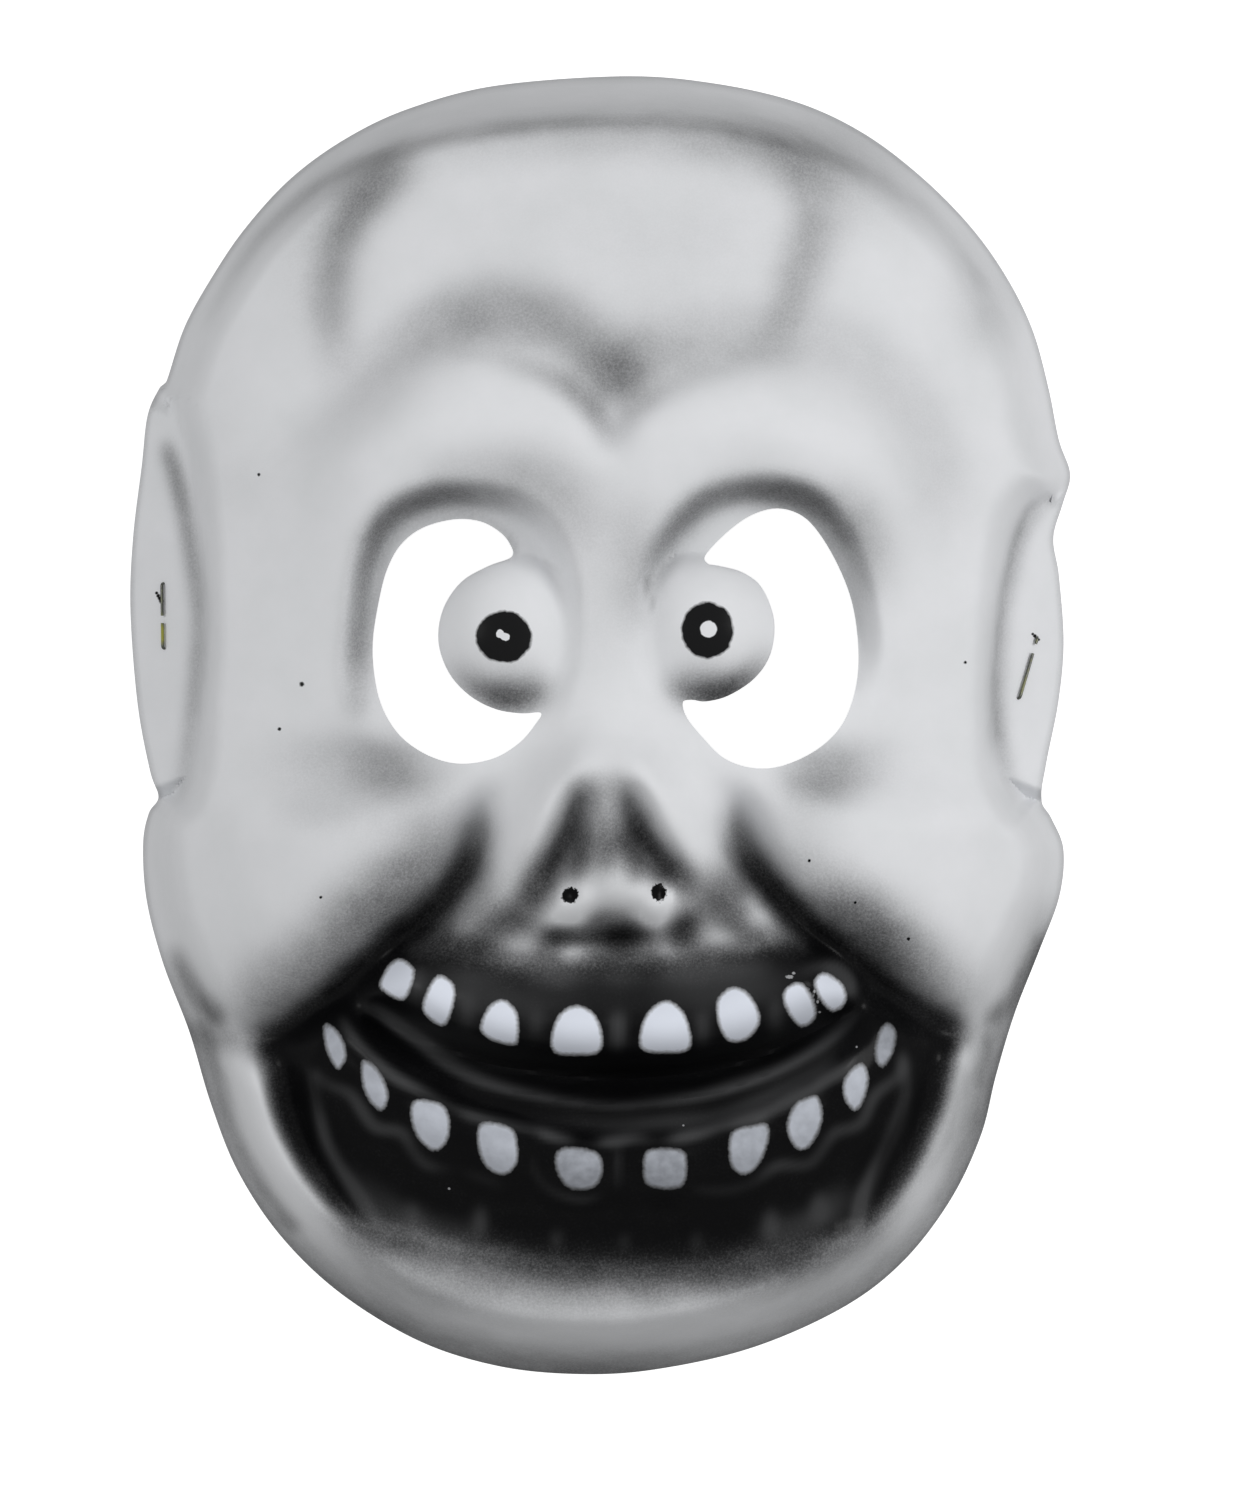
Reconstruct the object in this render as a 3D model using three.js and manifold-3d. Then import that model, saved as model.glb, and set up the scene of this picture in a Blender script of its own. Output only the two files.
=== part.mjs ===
// A party mask in the form of a grinning skull, pressed from one sheet of EVA foam, lying face up.
// Millimetres. +X runs to the viewer's right, +Y to the crown, +Z out of the face.
// The origin is under the middle of the mask, on the surface that its rim lies on.

import * as THREE from 'three';
import { mergeVertices } from 'three/addons/utils/BufferGeometryUtils.js';
import Module from 'manifold-3d';

const wasm = await Module();
wasm.setup();

// Driving sizes
const FOAM = 2.2;             // thickness of the sheet
const HALF_WIDTH = 78;        // where the dome has dropped by SIDE_DROP
const HALF_LENGTH = 118;      // where it has dropped by END_DROP
const DOME_MIDDLE = 4;        // y of the dome's highest line
const DOME_TOP = 54;
const SIDE_DROP = 25;
const END_DROP = 23;
const DOME_POWER = 2.3;
const WALL_ROUNDING = 0.3;    // share of the wall's width that its upper crease rounds over

// Facets of the sheet: how many across and along, and the size wanted of them at places on the two axes
const COLUMNS = 40;
const ROWS = 54;
const SUMMING_STEPS = 500;
const FACETS_ACROSS = [
  [-90, 3.4], [-76, 4.8], [-56, 5.2], [-36, 4.1], [-22, 3.4],
  [24, 3.4], [38, 4.1], [58, 5.2], [76, 4.8], [90, 3.4],
];
const FACETS_ALONG = [
  [-125, 4.2], [-112, 5.6], [-92, 4.4], [-46, 3.7], [-36, 3.1], [-10, 3.1], [0, 3.8], [46, 4.3], [70, 6.4],
  [108, 6.8], [125, 4.2],
];

// Reading of the skin's slope, and how the inner skin is set behind the outer one
const SLOPE_STEP = 1.6;       // half the distance that a slope is read over
const RIM_SAMPLE = 1.8;       // how far in from the rim the wall's slope is read
const INWARD_REACH = 12;      // how far in from the rim the inner skin stands inside the outer one in plan
const BALL_DIRECTIONS = 8;
const BALL_REACHES = [0.6, 1];

// The rim seen from the front, clockwise from the notch above the left temple tab
const RIM = [
  [-83.6, 66.2], [-79.6, 77.5], [-70.8, 92.6], [-57, 107.4], [-37, 118.8], [-16, 123.6], [4.7, 125],
  [28, 122.6], [50.5, 114.3], [68, 99.7], [80.5, 82.3], [86.6, 64], [88.4, 54.5], [90.5, 48.2],
  [88.9, 42], [87.2, 36.5], [88.9, 26], [88.9, 9], [86.2, -5], [84.9, -14.2], [87.7, -19.5],
  [89.4, -26.5], [85.6, -41], [77.4, -62.7], [72.2, -81.9], [60.1, -101.2], [41, -115], [14, -123.6],
  [-5, -125], [-27, -121.6], [-49, -110.3], [-65, -94], [-74, -76], [-77.7, -63], [-82.6, -50.8],
  [-86.9, -36.5], [-88.2, -25], [-87, -17.2], [-85.1, -13.6], [-86.8, -8.5], [-89.1, 4.5],
  [-90.5, 22], [-89.4, 41], [-87.9, 55], [-85.9, 63.2],
];

// Plan width of the steep side wall against the compass angle around the mask
const WALL_WIDTH = [
  [-180, 5.5], [-168, 6.5], [-150, 8], [-120, 8.5], [-90, 9], [-60, 8.5], [-30, 8], [-12, 6.5], [0, 5.5],
  [22, 6], [36, 8.5], [50, 7.5], [75, 8.6], [100, 8.6], [125, 6.6], [140, 6.6], [160, 5.5], [180, 5.5],
];

// The flat temple tabs that the head strap is stapled to: the side, the crease against the face,
// and the y that each ends at
const TAB_SLOPE = 0.72;
const TAB_RIM_HEIGHT = 2.8;
const TAB_END_SLOPE = 1.8;
const TAB_CORNER = 1.5;       // rounding where a tab meets the wall
const TABS_BEYOND = 70;       // x that the tabs lie beyond
const TABS = [
  {
    side: -1, rimX: 90.6, top: 64.5, bottom: -15.5, reachX: 80, reachTop: 63, reachBottom: -13.5,
    crease: [
      [-84.5, 61], [-82.3, 52], [-80.6, 42], [-79.4, 30], [-79, 18], [-79.6, 6], [-80.6, -5], [-83, -12.5],
    ],
  },
  {
    side: 1, rimX: 89.3, top: 45.5, bottom: -15.8, reachX: 80, reachTop: 44.5, reachBottom: -13.8,
    crease: [
      [88.5, 43], [83.8, 39.3], [80.9, 32], [79.4, 22], [78.4, 10], [78.2, 0], [79.4, -8], [82.5, -13.5],
    ],
  },
];

// Soft swellings (plus) and hollows (minus) of the face: centre, radii, height, turn in degrees, steepness
const SWELLINGS = {
  forehead: { at: [-4, 98], radii: [38, 18], height: 2 },
  browDimple: { at: [3.7, 67], radii: [6.5, 6.5], height: -3 },
  nose: { at: [1.8, -20], radii: [16, 19], height: 11, power: 2.8 },
  noseTip: { at: [2.4, -29.5], radii: [6, 5.8], height: 5.2 },
  leftNostril: { at: [-6.4, -32.6], radii: [5.6, 5.2], height: 5 },
  rightNostril: { at: [11.2, -32], radii: [5.6, 5.2], height: 5 },
  underNose: { at: [3.8, -40], radii: [8, 3.4], height: -3.4 },
  leftCheek: { at: [-57, -33], radii: [27, 19], height: 8.5, turn: -14, power: 2.6 },
  rightCheek: { at: [59, -33], radii: [27, 19], height: 8.5, turn: 14, power: 2.6 },
  leftHollow: { at: [-44, -8], radii: [12, 5], height: -3, turn: -6 },
  rightHollow: { at: [45, -9], radii: [12, 5], height: -3, turn: 6 },
  lowerGum: { at: [0, -95], radii: [40, 7], height: -2.5 },
};

// Ridges (plus) and grooves (minus): half width, height, the share of the route that fades at each end,
// and the route
const CREASES = {
  leftBrowValley: {
    width: 6, height: -3.4, fade: 0.2,
    route: [[-69, 47], [-53.9, 58.7], [-38.6, 72.6], [-19.3, 79.6], [-2, 73], [3.7, 67]],
  },
  rightBrowValley: {
    width: 6, height: -2.6, fade: 0.2,
    route: [[3.7, 67], [21, 74.5], [48, 72.1], [63.4, 54.8], [63.4, 34]],
  },
  leftBrow: {
    width: 9.5, height: 8, fade: 0.12,
    route: [[-50.5, 38], [-41, 55.5], [-21.3, 62], [-3.5, 52.5], [-1, 45]],
  },
  rightBrow: {
    width: 9.5, height: 8, fade: 0.12,
    route: [[5, 45], [8, 52.5], [26, 61.8], [46.5, 55.5], [56, 36]],
  },
  browCleft: { width: 3.6, height: -5, fade: 0.3, route: [[2.6, 66], [2.2, 59], [1.8, 46]] },
  noseBridge: { width: 10, height: 2, fade: 0.2, route: [[1.5, 40], [0.8, 24], [0.8, 8], [1.5, -6]] },
  leftNoseWing: {
    width: 4.4, height: 4.2, fade: 0.1,
    route: [[1.5, -5], [-11, -15], [-18.5, -30.5], [-30, -41]],
  },
  rightNoseWing: {
    width: 4.4, height: 4.2, fade: 0.1,
    route: [[1.5, -5], [13.5, -15], [22, -30.5], [35, -41]],
  },
  leftNosePit: { width: 3.6, height: -6, fade: 0.2, route: [[-3.4, -11.5], [-5.2, -18], [-10.4, -30.5]] },
  rightNosePit: { width: 3.6, height: -6, fade: 0.2, route: [[5, -11.5], [7.2, -18], [14.2, -29]] },
  leftCheekBone: {
    width: 6, height: 3.2, fade: 0.15,
    route: [[-82, -18], [-60, -20], [-40, -17], [-17, -5]],
  },
  rightCheekBone: {
    width: 6, height: 3.2, fade: 0.15,
    route: [[84, -16], [62, -18], [43, -16], [19, -4]],
  },
  leftCheekFold: {
    width: 4.6, height: -8.5, fade: 0.1,
    route: [[-21, -12], [-24.6, -26], [-38.5, -41.5], [-56, -55], [-66, -60.5], [-77, -58]],
  },
  rightCheekFold: {
    width: 4.6, height: -8.5, fade: 0.1,
    route: [[24.5, -11], [29, -25.5], [42.5, -41], [60, -54.5], [69, -59.5], [78, -57]],
  },
  upperJaw: {
    width: 8, height: 7, fade: 0.05,
    route: [[-42, -48], [-18, -55.5], [12.4, -57], [44, -47.5]],
  },
  mouth: {
    width: 3.2, height: -9.5, fade: 0.06,
    route: [
      [-47, -52.8], [-31, -61.6], [-19.3, -65.3], [2.2, -67.5], [23, -65.5], [36, -60.8], [51, -52.8],
    ],
  },
  lowerJaw: {
    width: 7.5, height: 5.5, fade: 0.06,
    route: [[-52, -63], [-32.6, -76], [-4.1, -84.5], [12.6, -84.5], [39.4, -76.3], [55, -62]],
  },
  leftTrough: {
    width: 4.2, height: -5, fade: 0.15,
    route: [[-63, -61], [-61, -72], [-51, -91.5], [-44, -99]],
  },
  rightTrough: {
    width: 4.2, height: -5, fade: 0.15,
    route: [[66, -60], [65.3, -72], [57, -91], [50.5, -100]],
  },
  jawRim: {
    width: 6.5, height: 4, fade: 0.04,
    route: [
      [-74.5, -57], [-70, -72], [-55.5, -97], [-25, -112], [25, -112.5], [56, -97], [71.5, -72], [76, -56],
    ],
  },
};

// Teeth: centre, half width, half height, turn in degrees
const TEETH = [
  [-39.1, -47.2, 3.4, 3.9, -22], [-30.9, -51.5, 3.1, 4.7, -14], [-19.1, -55.5, 3.6, 4.2, -6],
  [-4.5, -56.9, 5, 4.6, 0], [12.6, -56.7, 5, 4.8, 0], [26.1, -54.1, 4, 5, 8],
  [37.9, -51.9, 3.1, 4.1, 18], [44.1, -49.5, 3, 3.4, 22],
  [-51.2, -61.7, 2, 3.9, 10], [-43.4, -69, 2.5, 4.3, 14], [-32.6, -76.5, 3.6, 4.7, 6],
  [-19.7, -81, 3.7, 4.6, 4], [-4.1, -84.8, 4.2, 4.1, 3], [12.6, -85, 3.8, 4, 0],
  [28.4, -81, 3.7, 4.4, -6], [39.4, -76.3, 3.2, 4.8, -12], [48.8, -69.6, 2.3, 4.3, -14],
  [54.5, -61.9, 1.8, 3.6, -10],
];
const TOOTH_HEIGHT = 1.8;
const TOOTH_BORDER = 2.5;

// Eye sockets: how far down they drop, where the drop begins and ends across their edge, and the edge
const SOCKET_DEPTH = 8;
const SOCKET_FROM = -3;
const SOCKET_TO = 3.5;
const SOCKET_LOW = -6;        // y below which a socket has no edge
const SOCKET_HIGH = 28;       // y above which it has its full depth
const SOCKETS = [
  [
    [-47.3, 8], [-46.2, 25], [-40, 40.2], [-26, 44.3], [-11, 38.5],
    [-6, 20], [-12, -4], [-27, -10], [-42, -3],
  ],
  [
    [52, 12], [49.2, 30], [41, 42.6], [27, 45.1], [14.5, 38],
    [8.4, 22], [14, -2], [24, -10], [36, -11], [47, -3],
  ],
];

// Moulded eyeballs beside the eye holes
const BALL_RADIUS = 14.4;
const BALL_HEIGHT = 12;
const BALL_FLOOR = 44.5;
const BALL_CREASE = 2.5;      // rounding where a ball meets its socket
const BALL_FALL = 30;         // how fast the ball's form falls away outside its circle
const BALLS = [[-17.4, 17], [19.8, 17.6]];

// Eye holes: the crescent left open around each eyeball
const EYE_HOLES = [
  [
    [-17, 32.2], [-17.3, 34.6], [-23, 39], [-34, 37.8], [-40.8, 30], [-43.6, 16], [-41.6, 3], [-33, -5.8],
    [-20.5, -6.4], [-12.4, 0.2], [-11.4, 2.3], [-15, 2.2], [-25, 5.6], [-31, 16], [-26.6, 27.4],
    [-21.5, 30.4],
  ],
  [
    [20.2, 32.6], [20.6, 30.9], [27.3, 29.2], [33.3, 20], [29.5, 8.9], [20.2, 4.5], [15.8, 4.3], [19.8, -2.6],
    [28, -8], [38.5, -6.4], [46.6, 0.6], [49.5, 13.4], [46.3, 29], [38.8, 40], [29, 40.2],
  ],
];

// Staples: crown length, wire section, clinched length, clearance to the foam, and each one's centre and
// lean on its tab
const STAPLE_LENGTH = 13;
const WIRE_THICK = 0.5;
const WIRE_WIDE = 0.6;
const CLINCH = 5;
const CLEAR = 0.3;
const STAPLES = [
  { name: 'staple_left', tab: 0, at: [-84, 21], lean: 1 },
  { name: 'staple_right', tab: 1, at: [82.1, 11], lean: -20 },
];

// The cutters' reach below the floor and above the face, and how close two of their points are one
const CUT_BELOW = 10;
const CUT_ABOVE = 80;
const MERGE_WITHIN = 1e-4;

// Points taken along a curve
const RIM_POINTS = 360;
const SOCKET_POINTS = 60;
const EYE_HOLE_POINTS = 36;
const TAB_CREASE_POINTS = 40;
const BEADS_A_POINT = 16;
const BEAD_REACH = 3;         // in widths of the crease

const smoothMin = (a, b, k) => {
  const h = THREE.MathUtils.clamp(0.5 + (b - a) / (2 * k), 0, 1);
  return b * (1 - h) + a * h - k * h * (1 - h);
};
const smoothMax = (a, b, k) => -smoothMin(-a, -b, k);
const ease = (t) => THREE.MathUtils.smoothstep(t, 0, 1);

function curvePoints(points, closed, count) {
  const curve = new THREE.CatmullRomCurve3(
    points.map(([x, y]) => new THREE.Vector3(x, y, 0)), closed, 'catmullrom', 0.5);
  const found = curve.getPoints(count);
  if (closed) found.pop();
  return found.map((p) => [p.x, p.y]);
}

// Distance from a point to a closed ring, plus when inside it
function insideDistance(x, y, ring) {
  let nearest = Infinity;
  let inside = false;
  for (let i = 0, j = ring.length - 1; i < ring.length; j = i, i += 1) {
    const [ax, ay] = ring[i];
    const [bx, by] = ring[j];
    const t = THREE.MathUtils.clamp(
      ((x - ax) * (bx - ax) + (y - ay) * (by - ay)) / ((bx - ax) ** 2 + (by - ay) ** 2), 0, 1);
    nearest = Math.min(nearest, Math.hypot(x - ax - t * (bx - ax), y - ay - t * (by - ay)));
    if ((ay > y) !== (by > y) && x < (bx - ax) * (y - ay) / (by - ay) + ax) inside = !inside;
  }
  return inside ? nearest : -nearest;
}

// A crease is its route blurred by its half width, so it has no corner anywhere
function beadsOf({ route, width, height, fade }) {
  const line = curvePoints(route, false, BEADS_A_POINT * route.length);
  let length = 0;
  for (let i = 1; i < line.length; i += 1) {
    length += Math.hypot(line[i][0] - line[i - 1][0], line[i][1] - line[i - 1][1]);
  }
  const share = height * length / (line.length * width * Math.sqrt(Math.PI));
  return line.map(([x, y], i) => {
    const t = i / (line.length - 1);
    return { x, y, width, amount: share * ease(Math.min(t, 1 - t) / fade) };
  });
}

const beads = Object.values(CREASES).flatMap(beadsOf);
const rimRing = curvePoints(RIM, true, RIM_POINTS);
const socketRings = SOCKETS.map((points) => curvePoints(points, true, SOCKET_POINTS));

// The rim with its two tab stretches moved in to the tab creases: the foot of the steep wall
function wallFoot() {
  const ring = [];
  const done = new Set();
  for (const [x, y] of rimRing) {
    const tab = TABS.find((t) => x * t.side > t.reachX && y < t.reachTop && y > t.reachBottom);
    if (!tab) ring.push([x, y]);
    if (!tab || done.has(tab)) continue;
    const crease = curvePoints(tab.crease, false, TAB_CREASE_POINTS);
    ring.push(...(tab.side < 0 ? crease.reverse() : crease));
    done.add(tab);
  }
  return ring;
}
const footRing = wallFoot();

function swelling({ at, radii, height, turn = 0, power = 2 }, x, y) {
  const a = THREE.MathUtils.degToRad(turn);
  const u = ((x - at[0]) * Math.cos(a) + (y - at[1]) * Math.sin(a)) / radii[0];
  const v = ((y - at[1]) * Math.cos(a) - (x - at[0]) * Math.sin(a)) / radii[1];
  return height * Math.exp(-((u * u + v * v) ** (power / 2)));
}

function wallWidth(x, y) {
  const angle = THREE.MathUtils.radToDeg(Math.atan2(y, x));
  const i = Math.max(WALL_WIDTH.findIndex(([a]) => a >= angle), 1);
  const [a0, w0] = WALL_WIDTH[i - 1];
  const [a1, w1] = WALL_WIDTH[i];
  return THREE.MathUtils.mapLinear(angle, a0, a1, w0, w1);
}

// Height of the eyeball's ball above its floor, falling away quickly outside its circle
function ballHeight([cx, cy], x, y) {
  const r = ((x - cx) ** 2 + (y - cy) ** 2) / BALL_RADIUS ** 2;
  return r < 1 ? BALL_HEIGHT * Math.sqrt(1 - r) : -BALL_FALL * Math.sqrt(r - 1);
}

// The face as it would be if it ran on without a side wall
function faceHeight(x, y) {
  let z = DOME_TOP
    - SIDE_DROP * Math.abs(x / HALF_WIDTH) ** DOME_POWER
    - END_DROP * Math.abs((y - DOME_MIDDLE) / HALF_LENGTH) ** DOME_POWER;
  for (const form of Object.values(SWELLINGS)) z += swelling(form, x, y);
  for (const bead of beads) {
    const r = ((x - bead.x) ** 2 + (y - bead.y) ** 2) / bead.width ** 2;
    if (r < BEAD_REACH ** 2) z += bead.amount * Math.exp(-r);
  }
  for (const [cx, cy, rx, ry, turn] of TEETH) {
    const radii = [rx + TOOTH_BORDER, ry + TOOTH_BORDER];
    z += swelling({ at: [cx, cy], radii, height: TOOTH_HEIGHT, turn, power: 3 }, x, y);
  }
  for (const ring of socketRings) {
    const across = (insideDistance(x, y, ring) - SOCKET_FROM) / (SOCKET_TO - SOCKET_FROM);
    z -= SOCKET_DEPTH * ease(across) * ease((y - SOCKET_LOW) / (SOCKET_HIGH - SOCKET_LOW));
  }
  for (const ball of BALLS) z = smoothMax(z, BALL_FLOOR + ballHeight(ball, x, y), BALL_CREASE);
  return z;
}

// The plane of a temple tab, ended steeply above and below it
function tabHeight(tab, x, y) {
  const plane = TAB_RIM_HEIGHT + TAB_SLOPE * (tab.rimX - x * tab.side);
  return Math.max(0, Math.min(plane, TAB_END_SLOPE * (tab.top - y), TAB_END_SLOPE * (y - tab.bottom)));
}

const tabNear = (x) => TABS.find((t) => x * t.side > TABS_BEYOND);

function skinHeight(x, y) {
  const share = Math.max(insideDistance(x, y, footRing), 0) / wallWidth(x, y);
  const wall = faceHeight(x, y) * Math.max(smoothMin(share, 1, WALL_ROUNDING), 0);
  const tab = tabNear(x);
  return tab ? smoothMax(wall, tabHeight(tab, x, y), TAB_CORNER) : wall;
}

// Direction in plan in which the skin leans outwards, as long as the sine of its slope
function lean(x, y) {
  const dx = skinHeight(x + SLOPE_STEP, y) - skinHeight(x - SLOPE_STEP, y);
  const dy = skinHeight(x, y + SLOPE_STEP) - skinHeight(x, y - SLOPE_STEP);
  const n = new THREE.Vector3(-dx, -dy, 2 * SLOPE_STEP).normalize();
  return [n.x, n.y];
}

// The inner skin is the lowest that a ball of the foam's thickness reaches as it rolls over the outer one
function innerHeight(x, y) {
  let z = skinHeight(x, y) - FOAM;
  for (const share of BALL_REACHES) {
    const reach = FOAM * share;
    const drop = FOAM * Math.sqrt(1 - share * share);
    for (let k = 0; k < BALL_DIRECTIONS; k += 1) {
      const a = (2 * Math.PI * k) / BALL_DIRECTIONS;
      z = Math.min(z, skinHeight(x + reach * Math.cos(a), y + reach * Math.sin(a)) - drop);
    }
  }
  return Math.max(z, 0);
}

// Where the ray from the middle at this angle meets the rim
function rimRadius(angle) {
  const c = Math.cos(angle);
  const s = Math.sin(angle);
  let found = 0;
  for (let i = 0, j = rimRing.length - 1; i < rimRing.length; j = i, i += 1) {
    const [ax, ay] = rimRing[j];
    const [bx, by] = rimRing[i];
    const sideA = ay * c - ax * s;
    const sideB = by * c - bx * s;
    if ((sideA > 0) === (sideB > 0)) continue;
    const t = sideA / (sideA - sideB);
    const along = (ax + t * (bx - ax)) * c + (ay + t * (by - ay)) * s;
    found = Math.max(found, along);
  }
  return found;
}

// Places from -1 to 1 for the lines of a grid whose facets have about the sizes wanted
function gridLines(wanted, count) {
  const start = wanted[0][0];
  const end = wanted[wanted.length - 1][0];
  const summed = [0];
  for (let i = 0; i < SUMMING_STEPS; i += 1) {
    const at = start + (end - start) * (i + 0.5) / SUMMING_STEPS;
    const k = wanted.findIndex(([place]) => place >= at);
    const [[place0, size0], [place1, size1]] = [wanted[k - 1], wanted[k]];
    summed.push(summed[i] + 1 / THREE.MathUtils.mapLinear(at, place0, place1, size0, size1));
  }
  const lines = [-1];
  for (let line = 1; line < count; line += 1) {
    const goal = summed[SUMMING_STEPS] * line / count;
    const i = summed.findIndex((s) => s >= goal);
    lines.push(2 * (i - (summed[i] - goal) / (summed[i] - summed[i - 1])) / SUMMING_STEPS - 1);
  }
  return [...lines, 1];
}
const columnLines = gridLines(FACETS_ACROSS, COLUMNS);
const rowLines = gridLines(FACETS_ALONG, ROWS);

// A square of facets spread to the rim's shape
function planPoint(column, row) {
  const u = columnLines[column];
  const v = rowLines[row];
  const x = u * Math.sqrt(1 - v * v / 2);
  const y = v * Math.sqrt(1 - u * u / 2);
  const angle = Math.atan2(y, x);
  const radius = Math.min(Math.hypot(x, y), 1) * rimRadius(angle);
  return [radius * Math.cos(angle), radius * Math.sin(angle)];
}

// One pair of points, on the outer skin and behind it on the inner skin
function skinPair(column, row) {
  const [x, y] = planPoint(column, row);
  const atRim = column === 0 || row === 0 || column === COLUMNS || row === ROWS;
  const depth = Math.max(insideDistance(x, y, rimRing), 0);
  const shift = FOAM * (1 - ease(depth / INWARD_REACH));
  const pull = atRim ? 1 - RIM_SAMPLE / Math.hypot(x, y) : 1;
  const [leanX, leanY] = lean(x * pull, y * pull);
  const innerX = x - shift * leanX;
  const innerY = y - shift * leanY;
  if (!atRim) return [x, y, skinHeight(x, y), innerX, innerY, innerHeight(innerX, innerY)];
  const tab = tabNear(x);
  if (!tab) return [x, y, 0, innerX, innerY, 0];
  const innerRim = tabHeight(tab, innerX, innerY) - FOAM * Math.hypot(1, TAB_SLOPE);
  return [x, y, tabHeight(tab, x, y), innerX, innerY, Math.max(innerRim, 0)];
}

// The closed shell: an outer skin, an inner skin and the rim between them
function shellSolid() {
  const points = [];
  const faces = [];
  const at = (column, row, layer) => 2 * (row * (COLUMNS + 1) + column) + layer;
  for (let row = 0; row <= ROWS; row += 1) {
    for (let column = 0; column <= COLUMNS; column += 1) {
      points.push(...skinPair(column, row));
    }
  }
  const quad = (a, b, c, d) => faces.push(a, b, c, a, c, d);
  const outerPoint = ([column, row]) => new THREE.Vector3().fromArray(points, 3 * at(column, row, 0));
  const apart = (a, b) => outerPoint(a).distanceTo(outerPoint(b));
  for (let row = 0; row < ROWS; row += 1) {
    for (let column = 0; column < COLUMNS; column += 1) {
      const ring = [[column, row], [column + 1, row], [column + 1, row + 1], [column, row + 1]];
      if (apart(ring[1], ring[3]) < apart(ring[0], ring[2])) ring.push(ring.shift());
      quad(...ring.map((corner) => at(...corner, 0)));
      const [a, b, c, d] = ring.map((corner) => at(...corner, 1));
      quad(a, d, c, b);
    }
  }
  const edge = (a, b) => quad(at(...b, 0), at(...a, 0), at(...a, 1), at(...b, 1));
  for (let column = 0; column < COLUMNS; column += 1) {
    edge([column, 0], [column + 1, 0]);
    edge([column + 1, ROWS], [column, ROWS]);
  }
  for (let row = 0; row < ROWS; row += 1) {
    edge([0, row + 1], [0, row]);
    edge([COLUMNS, row], [COLUMNS, row + 1]);
  }
  return new wasm.Manifold(new wasm.Mesh({
    numProp: 3, vertProperties: new Float32Array(points), triVerts: new Uint32Array(faces),
  }));
}

function solidOf(geometry) {
  const bare = geometry.clone();
  bare.deleteAttribute('normal');
  bare.deleteAttribute('uv');
  const merged = mergeVertices(bare, MERGE_WITHIN);
  return new wasm.Manifold(new wasm.Mesh({
    numProp: 3,
    vertProperties: new Float32Array(merged.attributes.position.array),
    triVerts: new Uint32Array(merged.index.array),
  }));
}

function geometryOf(solid) {
  const mesh = solid.getMesh();
  const geometry = new THREE.BufferGeometry();
  geometry.setAttribute('position', new THREE.BufferAttribute(new Float32Array(mesh.vertProperties), 3));
  geometry.setIndex(new THREE.BufferAttribute(new Uint32Array(mesh.triVerts), 1));
  geometry.computeVertexNormals();
  return geometry;
}

// A straight cutter through the whole depth of the mask
function throughCutter(points) {
  const shape = new THREE.Shape(points.map(([x, y]) => new THREE.Vector2(x, y)));
  const depth = CUT_BELOW + CUT_ABOVE;
  return new THREE.ExtrudeGeometry(shape, { depth, bevelEnabled: false }).translate(0, 0, -CUT_BELOW);
}

// Frame on a tab's outer face: local Z out of the foam, local Y along the staple
function stapleFrame({ tab, at, lean }) {
  const { side } = TABS[tab];
  const [x, y] = at;
  const z = tabHeight(TABS[tab], x, y);
  const out = new THREE.Vector3(side * TAB_SLOPE, 0, 1).normalize();
  const along = new THREE.Vector3(0, 1, 0).applyAxisAngle(out, THREE.MathUtils.degToRad(lean));
  const across = new THREE.Vector3().crossVectors(along, out);
  const frame = new THREE.Group();
  frame.position.set(x, y, z);
  frame.setRotationFromMatrix(new THREE.Matrix4().makeBasis(across, along, out));
  frame.updateMatrix();
  return frame;
}

const LEG_AT = (STAPLE_LENGTH - WIRE_THICK) / 2;

function legHoleCutters(staple) {
  const frame = stapleFrame(staple);
  return [-1, 1].map((end) => {
    const hole = new THREE.BoxGeometry(WIRE_WIDE + 2 * CLEAR, WIRE_THICK + 2 * CLEAR, 2 * FOAM);
    return hole.translate(0, end * LEG_AT, -FOAM / 2).applyMatrix4(frame.matrix);
  });
}

// Side view of a closed staple: crown behind the foam, legs through it, ends bent in over the front
function stapleGeometry() {
  const half = STAPLE_LENGTH / 2;
  const t = WIRE_THICK;
  const back = -(FOAM + CLEAR + t);
  const front = CLEAR + t;
  const outline = [
    [-half, back], [half, back], [half, front], [half - CLINCH, front], [half - CLINCH, front - t],
    [half - t, front - t], [half - t, back + t], [-half + t, back + t], [-half + t, front - t],
    [-half + CLINCH, front - t], [-half + CLINCH, front], [-half, front],
  ];
  const shape = new THREE.Shape(outline.map(([y, z]) => new THREE.Vector2(y, z)));
  const wire = new THREE.ExtrudeGeometry(shape, { depth: WIRE_WIDE, bevelEnabled: false });
  wire.translate(0, 0, -WIRE_WIDE / 2);
  const turn = new THREE.Matrix4().makeBasis(
    new THREE.Vector3(0, 1, 0), new THREE.Vector3(0, 0, 1), new THREE.Vector3(1, 0, 0));
  return wire.applyMatrix4(turn);
}

function maskShell() {
  let solid = shellSolid();
  const cutters = [
    ...EYE_HOLES.map((points) => throughCutter(curvePoints(points, true, EYE_HOLE_POINTS))),
    ...STAPLES.flatMap(legHoleCutters),
  ];
  for (const cutter of cutters) solid = solid.subtract(solidOf(cutter));
  const foam = new THREE.MeshStandardMaterial({ color: 0xd0d0d4, roughness: 0.62, metalness: 0 });
  const mesh = new THREE.Mesh(geometryOf(solid), foam);
  mesh.name = 'mask_shell';
  return mesh;
}

const group = new THREE.Group();
group.add(maskShell());

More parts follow.
